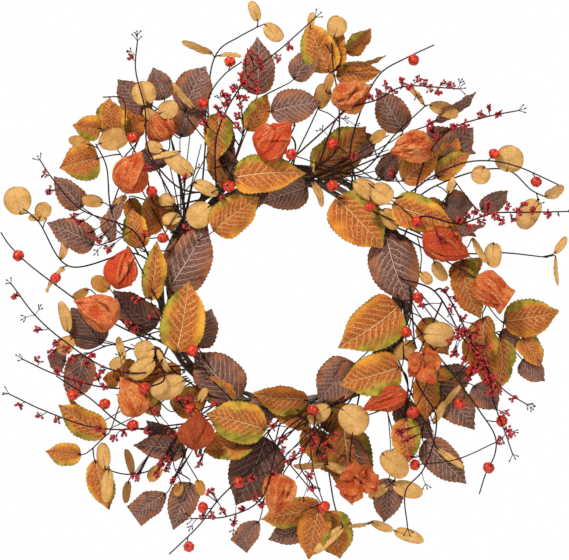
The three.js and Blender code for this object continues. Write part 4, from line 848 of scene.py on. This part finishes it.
class Shader:
    """A node material, built by short calls that each return a socket."""

    def __init__(self, name, roughness, **settings):
        self.material = bpy.data.materials.new(name)
        self.material.use_nodes = True
        self.tree = self.material.node_tree
        self.surface = self.tree.nodes["Principled BSDF"]
        self.surface.inputs["Roughness"].default_value = roughness
        for key, value in settings.items():
            self.surface.inputs[key.replace("_", " ")].default_value = value

    def node(self, kind, inputs, output=0, **settings):
        node = self.tree.nodes.new("ShaderNode" + kind)
        for key, value in settings.items():
            setattr(node, key, value)
        for key, value in inputs.items():
            if isinstance(value, bpy.types.NodeSocket):
                self.tree.links.new(value, node.inputs[key])
            else:
                node.inputs[key].default_value = value
        return node.outputs[output]

    def math(self, operation, a, b=0.0, c=0.0):
        return self.node("Math", {0: a, 1: b, 2: c}, operation=operation)

    def plus(self, a, b):
        return self.math("ADD", a, b)

    def minus(self, a, b):
        return self.math("SUBTRACT", a, b)

    def times(self, a, b):
        return self.math("MULTIPLY", a, b)

    def spread(self, value, reach):
        """A value round 0.5 as one round 0, that many times as far from it."""
        return self.times(self.minus(value, 0.5), reach)

    def step(self, value, low, high, top=1.0):
        """A smooth step of a value, from 0 at low to top at high."""
        inputs = {0: value, 1: low, 2: high, 3: 0.0, 4: top}
        return self.node("MapRange", inputs, interpolation_type="SMOOTHSTEP")

    def mix(self, amount, a, b):
        a, b = (colour(c) if isinstance(c, str) else c for c in (a, b))
        return self.node("Mix", {0: amount, 6: a, 7: b}, output=2, data_type="RGBA")

    def lay(self, body, tint, mask, share):
        """The body's colour under a tint, which takes up a share of it where the mask is 1."""
        return self.mix(self.times(mask, share), body, tint)

    def parts(self, name):
        """The three numbers of a point attribute."""
        vector = self.node("Attribute", {}, output=1, attribute_name=name)
        node = self.tree.nodes.new("ShaderNodeSeparateXYZ")
        self.tree.links.new(vector, node.inputs[0])
        return list(node.outputs)

    def spot(self):
        return self.node("TexCoord", {}, output=3)

    def noise(self, size, detail=2.0):
        """Noise from 0 to 1, with features of about that many millimetres."""
        return self.node("TexNoise", {0: self.spot(), "Scale": 1 / (size * MM), "Detail": detail})

    def cells(self, size):
        """The distance from the edges of cells of about that many millimetres."""
        return self.node("TexVoronoi", {0: self.spot(), "Scale": 1 / (size * MM)}, feature="DISTANCE_TO_EDGE")

    def bump(self, height, distance):
        normal = self.node("Bump", {"Height": height, "Distance": distance * MM, "Strength": 1.0})
        self.tree.links.new(normal, self.surface.inputs["Normal"])

    def paint(self, value):
        self.tree.links.new(value, self.surface.inputs["Base Color"])


def leaf_veins(s):
    """A point's place across the leaf and from midrib to edge, and the masks of what the veins draw there.

    The masks are those of the midrib, side veins, panels between them, fine net, and the painted shadow along
    both sides of the raised midrib.
    """
    along, across, edge = s.parts("place")
    lateral = s.math("ABSOLUTE", across)
    taper = s.math("MULTIPLY_ADD", along, -0.006, 0.0098)
    from_rib = s.math("DIVIDE", lateral, taper)
    bow = s.times(s.times(lateral, lateral), VEIN_BOW)
    phase = s.minus(s.minus(along, s.times(lateral, VEIN_SLOPE)), bow)
    wander = s.spread(s.noise(9), 0.07)
    side = s.times(s.math("SIGN", across), VEIN_STAGGER)
    phase = s.plus(s.times(s.plus(phase, wander), VEINS), side)
    crest = s.math("ABSOLUTE", s.minus(s.math("FRACT", phase), 0.5))
    veins = s.times(s.step(crest, 0.425, 0.475), s.step(edge, 1.0, 0.6))
    between = s.times(s.step(crest, 0.38, 0.12), s.step(from_rib, 1.5, 5.0))
    midrib = s.step(from_rib, 1.1, 0.5)
    # Painted shadow along both sides of the raised midrib.
    midrib_shadow = s.times(s.step(from_rib, 3.6, 1.4), s.step(from_rib, 0.9, 1.3))
    coarse = s.step(s.cells(3.2), 0.12, 0.03)
    small = s.step(s.cells(1.7), 0.18, 0.04)
    net = s.math("MAXIMUM", coarse, s.times(small, 0.4))
    return across, edge, midrib, veins, between, net, midrib_shadow


def leaf_relief(s, veins, midrib, net, fine):
    raised = s.plus(s.times(s.plus(veins, midrib), 1.2), s.times(net, 0.5))
    s.bump(s.plus(raised, s.times(fine, 0.6)), 0.5)


def orange_leaf():
    s = Shader("orange_leaf_fabric", 0.7, Specular_IOR_Level=0.2)
    green, dark, warmth = s.parts("look")
    across, edge, midrib, veins, between, net, midrib_shadow = leaf_veins(s)
    broad, middle, fine = s.noise(24), s.noise(7, 3), s.noise(1.6)
    body = s.mix(s.step(middle, 0.35, 0.65), "#C65C14", "#E48622")
    body = s.lay(body, s.mix(middle, "#A8400E", "#CC5C18"), warmth, 0.7)
    inside = s.step(s.plus(edge, s.spread(broad, 1.2)), 1.0, 0.3)
    body = s.lay(body, "#B04A18", inside, 0.7)
    mottle = s.times(s.minus(1.0, net), s.step(fine, 0.35, 0.6))
    body = s.lay(body, "#6A2606", s.times(mottle, inside), 0.8)
    body = s.lay(body, "#F0A858", s.times(net, inside), 0.5)
    body = s.lay(body, "#7A2C08", s.times(between, inside), 0.25)
    rim = s.step(s.plus(edge, s.spread(broad, 1.4)), 0.5, 0.95)
    gold = s.mix(s.step(fine, 0.3, 0.7), "#DA9626", "#F0B444")
    body = s.lay(body, gold, rim, s.math("MULTIPLY_ADD", warmth, -0.65, 0.95))
    patch = s.plus(s.times(edge, 0.62), s.times(s.noise(19, 1), 1.2))
    patch = s.plus(s.plus(patch, s.times(green, 0.36)), s.times(across, 1.1))
    olive = s.mix(s.step(middle, 0.35, 0.65), "#767218", "#AE9E34")
    body = s.lay(body, olive, s.step(patch, 1.1, 1.55), 0.9)
    # Painted shadow along both sides of the midrib.
    body = s.lay(body, "#6E2C0C", midrib_shadow, 0.35)
    body = s.lay(body, "#F6BE72", veins, 0.9)
    body = s.lay(body, "#F6CE90", midrib, 0.85)
    body = s.lay(body, "#6A5420", s.step(edge, 0.93, 1.0), 0.5)
    shade = s.mix(s.step(s.noise(15, 1), 0.35, 0.65), "#2E1408", "#3E3008")
    # Leaves of a dark look turn darker here: partly their own colour, partly painted shade for leaves deep in
    # the wreath.
    s.paint(s.lay(body, s.mix(0.3, shade, body), dark, 0.92))
    leaf_relief(s, veins, midrib, net, fine)
    return s.material


def brown_leaf():
    s = Shader("brown_leaf_fabric", 0.72, Specular_IOR_Level=0.2)
    _, dark, _ = s.parts("look")
    _, edge, midrib, veins, between, net, midrib_shadow = leaf_veins(s)
    broad, middle, fine = s.noise(26), s.noise(8, 3), s.noise(1.5)
    body = s.mix(s.step(middle, 0.3, 0.7), "#8C5030", "#AC6C46")
    inside = s.step(s.plus(edge, s.spread(broad, 1.3)), 1.02, 0.35)
    body = s.lay(body, "#6E4A42", inside, 0.5)
    mottle = s.times(s.minus(1.0, net), s.step(fine, 0.3, 0.58))
    body = s.lay(body, "#28100A", s.times(mottle, inside), 0.9)
    body = s.lay(body, "#A88478", s.times(net, inside), 0.55)
    body = s.lay(body, "#34180F", s.times(between, inside), 0.2)
    # Painted shadow along both sides of the midrib.
    body = s.lay(body, "#2C140E", midrib_shadow, 0.45)
    body = s.lay(body, "#D8B6A4", veins, 0.9)
    body = s.lay(body, "#DEBEA8", midrib, 0.85)
    body = s.lay(body, "#4C2E22", s.step(edge, 0.92, 1.0), 0.65)
    # Leaves of a dark look turn darker here: partly their own colour, partly painted shade for leaves deep in
    # the wreath.
    s.paint(s.lay(body, s.mix(0.3, "#241210", body), dark, 0.9))
    leaf_relief(s, veins, midrib, net, fine)
    return s.material


def eucalyptus_leaf():
    s = Shader("eucalyptus_leaf", 0.66, Specular_IOR_Level=0.22)
    _, dark, warmth = s.parts("look")
    along, across, edge = s.parts("place")
    fine, middle = s.noise(1.2, 3), s.noise(9)
    body = s.mix(s.step(middle, 0.3, 0.7), "#C8944E", "#DCAA68")
    body = s.lay(body, "#96702E", s.step(fine, 0.5, 0.64), 0.5)
    body = s.mix(s.step(s.plus(edge, s.times(middle, 0.5)), 0.75, 1.3, 0.6), body, "#B27E36")
    body = s.lay(body, "#E2C684", s.step(fine, 0.46, 0.3), 0.45)
    midrib = s.times(s.step(s.math("ABSOLUTE", across), 0.03, 0.008), s.step(along, 0.8, 0.2))
    body = s.lay(body, "#94713A", midrib, 0.45)
    body = s.lay(body, "#7E6030", s.step(edge, 0.9, 1.0), 0.6)
    body = s.lay(body, s.mix(middle, "#9E5C16", "#C4842C"), warmth, 0.85)
    # Leaves of a dark look turn darker here: partly their own colour, partly painted shade for leaves deep in
    # the wreath.
    s.paint(s.lay(body, "#5E3212", dark, 0.9))
    s.bump(s.plus(fine, s.times(midrib, 1.5)), 0.3)
    return s.material


def husk_paper():
    s = Shader("husk_paper", 0.6, Specular_IOR_Level=0.25)
    red, dark, _ = s.parts("look")
    _, rib, height = s.parts("place")
    middle, fine = s.noise(9, 3), s.noise(1.5, 3)
    body = s.mix(s.step(s.noise(13, 1), 0.35, 0.62), "#BE4E18", "#EC9450")
    body = s.mix(s.step(middle, 0.35, 0.65, 0.4), body, "#C8561E")
    body = s.lay(body, s.mix(middle, "#C4300E", "#E24A1C"), red, 0.9)
    # Painted highlight on the crumpled ridges and painted shade in the crease valleys, by the height of the
    # folds.
    body = s.mix(s.step(height, 0.5, 1.8, 0.5), body, "#F4A868")
    body = s.mix(s.step(height, -0.5, -2.0, 0.85), body, "#5C1C06")
    body = s.mix(s.step(rib, 0.6, 0.95, 0.4), body, "#EAA060")
    net = s.minus(1.0, s.step(s.cells(3.4), 0.03, 0.16))
    body = s.lay(body, "#8E300C", net, 0.25)
    body = s.mix(s.step(fine, 0.5, 0.7, 0.5), body, "#8E3010")
    s.paint(s.lay(body, s.mix(middle, "#761E06", "#B0420E"), dark, 0.85))
    s.bump(s.plus(s.times(net, 0.8), fine), 0.6)
    return s.material


def pumpkin_gloss():
    s = Shader("pumpkin_gloss", 0.36, Specular_IOR_Level=0.35, Coat_Weight=0.2, Coat_Roughness=0.12)
    tone, _, _ = s.parts("look")
    _, _, depth = s.parts("place")
    middle = s.noise(3.2, 3)
    body = s.mix(s.step(middle, 0.35, 0.7), "#C01C04", "#EC4814")
    body = s.lay(body, "#A4120A", tone, 0.4)
    # Painted shade in the grooves and in the dimples at both ends, where the skin is sunk.
    body = s.mix(s.step(depth, 0.95, 0.84, 0.85), body, "#520806")
    s.paint(s.mix(s.step(s.noise(0.9), 0.6, 0.76, 0.6), body, "#F27A48"))
    s.bump(middle, 0.3)
    return s.material


def berry_gloss():
    s = Shader("berry_gloss", 0.4, Specular_IOR_Level=0.35, Coat_Weight=0.2, Coat_Roughness=0.2)
    tone, dark, _ = s.parts("look")
    body = s.mix(tone, "#8E0E16", "#C82A2E")
    body = s.mix(s.step(s.noise(0.8), 0.5, 0.8, 0.6), body, "#5E0A12")
    s.paint(s.mix(dark, body, "#2E0E10"))
    return s.material


def stem_wrap(name, dark, light):
    s = Shader(name, 0.85, Specular_IOR_Level=0.15)
    grain = s.noise(2.2, 3)
    s.paint(s.mix(s.step(grain, 0.4, 0.75), dark, light))
    s.bump(grain, 0.25)
    return s.material


def vine_bark():
    s = Shader("vine_bark", 0.85)
    _, turn, _ = s.parts("place")
    grain = s.math("SINE", s.plus(s.times(turn, 9.0), s.times(s.noise(7, 3), 9.0)))
    body = s.mix(s.step(s.noise(14, 3), 0.35, 0.7), "#4A382E", "#84705E")
    body = s.mix(s.step(grain, 0.1, 0.9, 0.6), body, "#A89684")
    s.paint(s.mix(s.step(grain, -0.2, -0.9, 0.7), body, "#2A1C16"))
    s.bump(s.plus(grain, s.noise(1.2, 3)), 0.5)
    return s.material


def wire_metal():
    s = Shader("wire_metal", 0.42, Metallic=0.75)
    worn = s.noise(3, 3)
    s.paint(s.mix(s.step(worn, 0.45, 0.7), "#3A302A", "#6A5A4C"))
    s.bump(worn, 0.08)
    return s.material


# Assembly

MATERIALS = {
    "orange": orange_leaf(),
    "brown": brown_leaf(),
    "eucalyptus": eucalyptus_leaf(),
    "husk": husk_paper(),
    "pumpkin": pumpkin_gloss(),
    "berry": berry_gloss(),
    "stem": stem_wrap("stem_wrap", "#1C120E", "#46322A"),
    "berry_stem": stem_wrap("berry_stem_wrap", "#260A0E", "#5A1C22"),
    "petiole": stem_wrap("petiole_wrap", "#24140E", "#54341E"),
    "vine": vine_bark(),
    "wire": wire_metal(),
}


def make_husks():
    for i, row in enumerate(HUSKS):
        rng = np.random.default_rng(100 + i)
        piece = Piece()
        look = row[7] if len(row) > 7 else ""
        red = 0.95 if "red" in look else 0.0 if "tan" in look else rng.uniform(0, 0.35)
        dark = 0.95 if "dark" in look else 0.4 if "dim" in look else 0.0
        if look == "star":
            open_husk(piece, row, rng)
        else:
            husk(piece, row, rng, (red, dark, 0), "flip" in look, flared="rim" in look)
        base, tip = at(row[0], row[1], row[4]), at(row[2], row[3], row[4])
        Stems(piece, row[6]).to(base, unit(tip - base), 2, STEM_RADIUS)
        piece.build(f"lantern_husk_{i + 1}", ["husk", "stem"], [f"physalis_{i + 1}"])


def make_pumpkins():
    for i, pick in enumerate(PUMPKINS):
        rng = np.random.default_rng(200 + i)
        piece = Piece()
        stems = Stems(piece, pick["at"])
        for points in pick["stems"]:
            stems.along(points)
        for x, z, f in pick["fruit"]:
            centre = at(x, z, f)
            place, heading = stems.nearest(centre, 0)
            if np.linalg.norm(place - centre) > FRUIT_RADIUS:
                heading = unit(centre - stems.twig(centre))
            pumpkin(piece, centre, heading + at(0, 0, -0.9) + rng.normal(size=3) * 0.35, rng)
        piece.build(f"mini_pumpkins_{i + 1}", ["pumpkin", "stem"], [f"pumpkins_{i + 1}"])


def make_berries():
    for i, pick in enumerate(BERRIES):
        rng = np.random.default_rng(300 + i)
        piece = Piece()
        stems = Stems(piece, pick["at"])
        for points in pick["stems"]:
            stems.along(points)
            path = stems.paths[-1]
            fork(piece, path[-1], unit(path[-1] - path[-3]), rng, 8)
        for x, z, f in pick["fruit"]:
            centre = at(x, z, f)
            place, _ = stems.nearest(centre)
            cluster(piece, centre, place, rng, int(rng.integers(8, 13)))
        for x, z, f in pick["forks"]:
            end = at(x, z, f)
            start = stems.twig(end, radius=0.35)
            fork(piece, end, unit(end - start), rng, 6)
        piece.build(f"berry_sprays_{i + 1}", ["berry", "berry_stem"], [f"berries_{i + 1}"])


def make_leaf_picks(rows, node, name, materials, slot, seed, **shape):
    for i, pick in enumerate(rows):
        rng = np.random.default_rng(seed + i)
        piece = Piece()
        stems = Stems(piece, pick["at"])
        for points in pick.get("stems", []):
            stems.along(points)
        for row in pick["leaves"]:
            base, tip = at(row[0], row[1], row[4]), at(row[2], row[3], row[4] + row[5])
            direction = unit(tip - base)
            if "stems" in pick:
                stems.twig(base, base + direction * 3)
            else:
                stems.to(base, direction, 4)
            blade(piece, row, rng, **shape)
        for x0, z0, x1, z1 in pick.get("wires", []):
            stems.wire(at(x0, z0, WIRE_FRONT), at(x1, z1, WIRE_FRONT + WIRE_RISE), rng)
        piece.build(f"{name}_{i + 1}", materials, [f"{node}_{i + 1}"])


def winding(a, b, radius, ring=RING_RADIUS):
    """A path at the angles a round the ring and b round its bundle."""
    r = ring + radius * np.cos(b)
    return np.stack([r * np.cos(a), -radius * np.sin(b), r * np.sin(a)], 1)


def make_canes():
    count, sides = 260, 14
    for i in range(CANE_COUNT):
        rng = np.random.default_rng(400 + i)
        piece = Piece()
        turns = rng.uniform(0, 2 * math.pi, (4, 3))
        a = np.linspace(0, 2 * math.pi, count, endpoint=False)
        path = winding(a, CANE_TURNS * a + 2 * math.pi * i / CANE_COUNT, BUNDLE_RADIUS)
        path = path + sum(np.sin(k * a[:, None] + turns[j]) * size
                          for j, (k, size) in enumerate([(5, 0.7), (9, 0.6), (17, 0.4), (31, 0.2)]))
        a = np.arange(count)[:, None] * 2 * math.pi / count
        b = np.linspace(0, 2 * math.pi, sides, endpoint=False)[None]
        lumps = 1 + 0.10 * np.sin(11 * a + turns[0, 0]) + 0.08 * np.sin(23 * a + turns[1, 1])
        lumps = lumps + 0.09 * np.sin(5 * b + 3 * a + turns[2, 0]) + 0.05 * np.sin(3 * b - 7 * a)
        knots = np.exp(-((a * 7 / math.pi % 2 - 1) / 0.12) ** 2)
        tube(piece, path, CANE_RADIUS * 1.02, SKIN, sides, closed=True, lumps=lumps + 0.22 * knots)
        for start in rng.uniform(0, 2 * math.pi, 3):
            tendril(piece, start, rng)
        piece.build(f"grapevine_{i + 1}", ["vine"], [f"vine_{i + 1}"])


def tendril(piece, start, rng):
    """A thin side twig that winds over the bundle for part of a lap."""
    span = rng.uniform(0.7, 1.3)
    t = np.linspace(0, 1, 60)
    a = start + span * t
    b = rng.uniform(0, 6) + 5 * span * t
    ring = RING_RADIUS + rng.uniform(-1, 1)
    tube(piece, winding(a, b, BUNDLE_RADIUS + 3.2, ring), np.linspace(1.1, 0.6, len(t)), SKIN, 7)


def ring_of_wire(piece, degrees, wire, radius, turns=1.0, pitch=0.0):
    """A ring or coil of wire round the bundle."""
    a = math.radians(degrees)
    out, along = at(math.cos(a), math.sin(a), 0), at(-math.sin(a), math.cos(a), 0)
    side = np.cross(along, out)
    t = np.linspace(0, 2 * math.pi * turns, int(48 * turns), endpoint=turns != 1)[:, None]
    path = out * RING_RADIUS + radius * (np.cos(t) * out + np.sin(t) * side)
    path = path + along * pitch * (t / (2 * math.pi) - turns / 2)
    tube(piece, path, wire, SKIN, 9, closed=turns == 1)


def make_ties(radius):
    for i, degrees in enumerate(TIE_ANGLES):
        piece = Piece()
        ring_of_wire(piece, degrees, TIE_WIRE_RADIUS, radius, TIE_TURNS, 2 * TIE_WIRE_RADIUS)
        piece.build(f"binding_wire_{i + 1}", ["wire"], [f"tie_wire_{i + 1}"])


def make_eye(radius):
    """The wire round the top of the bundle and the small eye on it, about the loop's hinge."""
    hinge = at(0, -LOOP_HEIGHT - RING_CENTRE[2], RING_CENTRE[1])
    piece = Piece()
    ring_of_wire(piece, 90, EYE_WIRE_RADIUS, radius)
    t = np.linspace(0, 2 * math.pi, 40, endpoint=False)[:, None]
    eye = hinge + EYE_RADIUS * (np.cos(t) * np.array([0, 1, 0]) + np.sin(t) * np.array([0, 0, 1]))
    tube(piece, eye, EYE_WIRE_RADIUS, SKIN, 9, closed=True)
    piece.build("hanger_wire_eye", ["wire"], ["hanger_eye"])


def make_loop():
    """The hanging loop: a straight foot through the eye, and a round top at the origin."""
    half, top = LOOP_WIDTH / 2, LOOP_WIRE_RADIUS
    points = [[-5, -LOOP_HEIGHT], [5, -LOOP_HEIGHT], [9, 4 - LOOP_HEIGHT], [half, -half]]
    for d in np.arange(22.5, 180, 22.5):
        a = math.radians(d)
        points.append([half * math.cos(a), (half + top) * math.sin(a) - half])
    points += [[-half, -half], [-9, 4 - LOOP_HEIGHT]]
    route = np.array([[x, 0, z] for x, z in points]) - RING_CENTRE
    lap = smooth(np.concatenate([route[-2:], route, route[:2]]), 1.2)
    first = int(np.linalg.norm(lap - route[0], axis=1).argmin())
    again = len(lap) - 1 - int(np.linalg.norm(lap[::-1] - route[0], axis=1).argmin())
    piece = Piece()
    tube(piece, lap[first:again], LOOP_WIRE_RADIUS, SKIN, 12, closed=True)
    piece.build("wire_loop", ["wire"], ["hanging_loop"], body="loop")


boxes = [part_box(f"vine_{i + 1}") for i in range(CANE_COUNT)]
RING_CENTRE = np.array([
    (min(low[k] for low, high in boxes) + max(high[k] for low, high in boxes)) / 2 for k in range(3)]) / MM
TIE_RADIUS = BUNDLE_RADIUS + CANE_RADIUS + TIE_WIRE_RADIUS + 0.8

make_husks()
make_pumpkins()
make_berries()
make_leaf_picks(EUCALYPTUS, "eucalyptus", "eucalyptus_sprigs", ["eucalyptus", "stem"], "eucalyptus", 500,
                outline=rounded, toothed=False, plain="tan")
make_leaf_picks(ORANGE, "orange_leaves", "orange_leaf_pick", ["orange", "petiole"], "orange_leaf", 600)
make_leaf_picks(BROWN, "brown_leaves", "brown_leaf_pick", ["brown", "petiole"], "brown_leaf", 700)
make_canes()
make_ties(TIE_RADIUS)
make_eye(TIE_RADIUS)
make_loop()


# Scene: a camera straight on, soft studio light and a pale floor

def make_camera():
    data = bpy.data.cameras.new("camera")
    data.sensor_width = FILM_WIDTH
    data.lens = FILM_WIDTH * CAMERA_DISTANCE / VIEW_WIDTH
    data.clip_end = 50
    camera = bpy.data.objects.new("camera", data)
    bpy.context.scene.collection.objects.link(camera)
    target = RING_CENTRE + at(-0.5, 11.8, 30)
    camera.location = Vector((target + at(0, 0, CAMERA_DISTANCE)) * MM)
    camera.rotation_euler = (math.radians(90), 0, 0)
    bpy.context.scene.camera = camera


def make_light(name, place, power, size):
    """An area light at a place in metres, turned to the ring."""
    data = bpy.data.lights.new(name, "AREA")
    data.energy, data.size = power, size
    lamp = bpy.data.objects.new(name, data)
    bpy.context.scene.collection.objects.link(lamp)
    lamp.location = Vector(place)
    aim = Vector(RING_CENTRE * MM) - lamp.location
    lamp.rotation_euler = aim.to_track_quat("-Z", "Y").to_euler()


def make_floor():
    bpy.ops.mesh.primitive_circle_add(vertices=96, radius=FLOOR_RADIUS * MM, fill_type="NGON")
    floor = bpy.context.object
    floor.name = "floor"
    floor.location = (0, 0, CAD_BOX[0][2] - FLOOR_GAP * MM)
    s = Shader("floor_paint", 0.8)
    s.paint(s.mix(s.noise(400), "#F0EFEC", "#F4F3F0"))
    floor.data.materials.append(s.material)


def make_world():
    world = bpy.data.worlds.new("studio")
    bpy.context.scene.world = world
    world.use_nodes = True
    tree = world.node_tree
    sky = tree.nodes["Background"]
    sky.inputs["Color"].default_value = (1, 1, 1, 1)
    # The backdrop is pure white, and lights the wreath less than it looks, as a far white wall does.
    seen = tree.nodes.new("ShaderNodeLightPath")
    strength = tree.nodes.new("ShaderNodeMapRange")
    tree.links.new(seen.outputs["Is Camera Ray"], strength.inputs[0])
    strength.inputs[3].default_value = AMBIENT
    strength.inputs[4].default_value = 1.0
    tree.links.new(strength.outputs[0], sky.inputs["Strength"])
    bpy.context.scene.view_settings.view_transform = "Standard"


make_camera()
make_light("key", (-1.2, -2.2, 1.9), 94, 0.6)
make_light("fill", (1.8, -1.8, 0.2), 14, 1.2)
make_light("back", (0.6, 2.2, 1.2), 30, 1.2)
make_floor()
make_world()
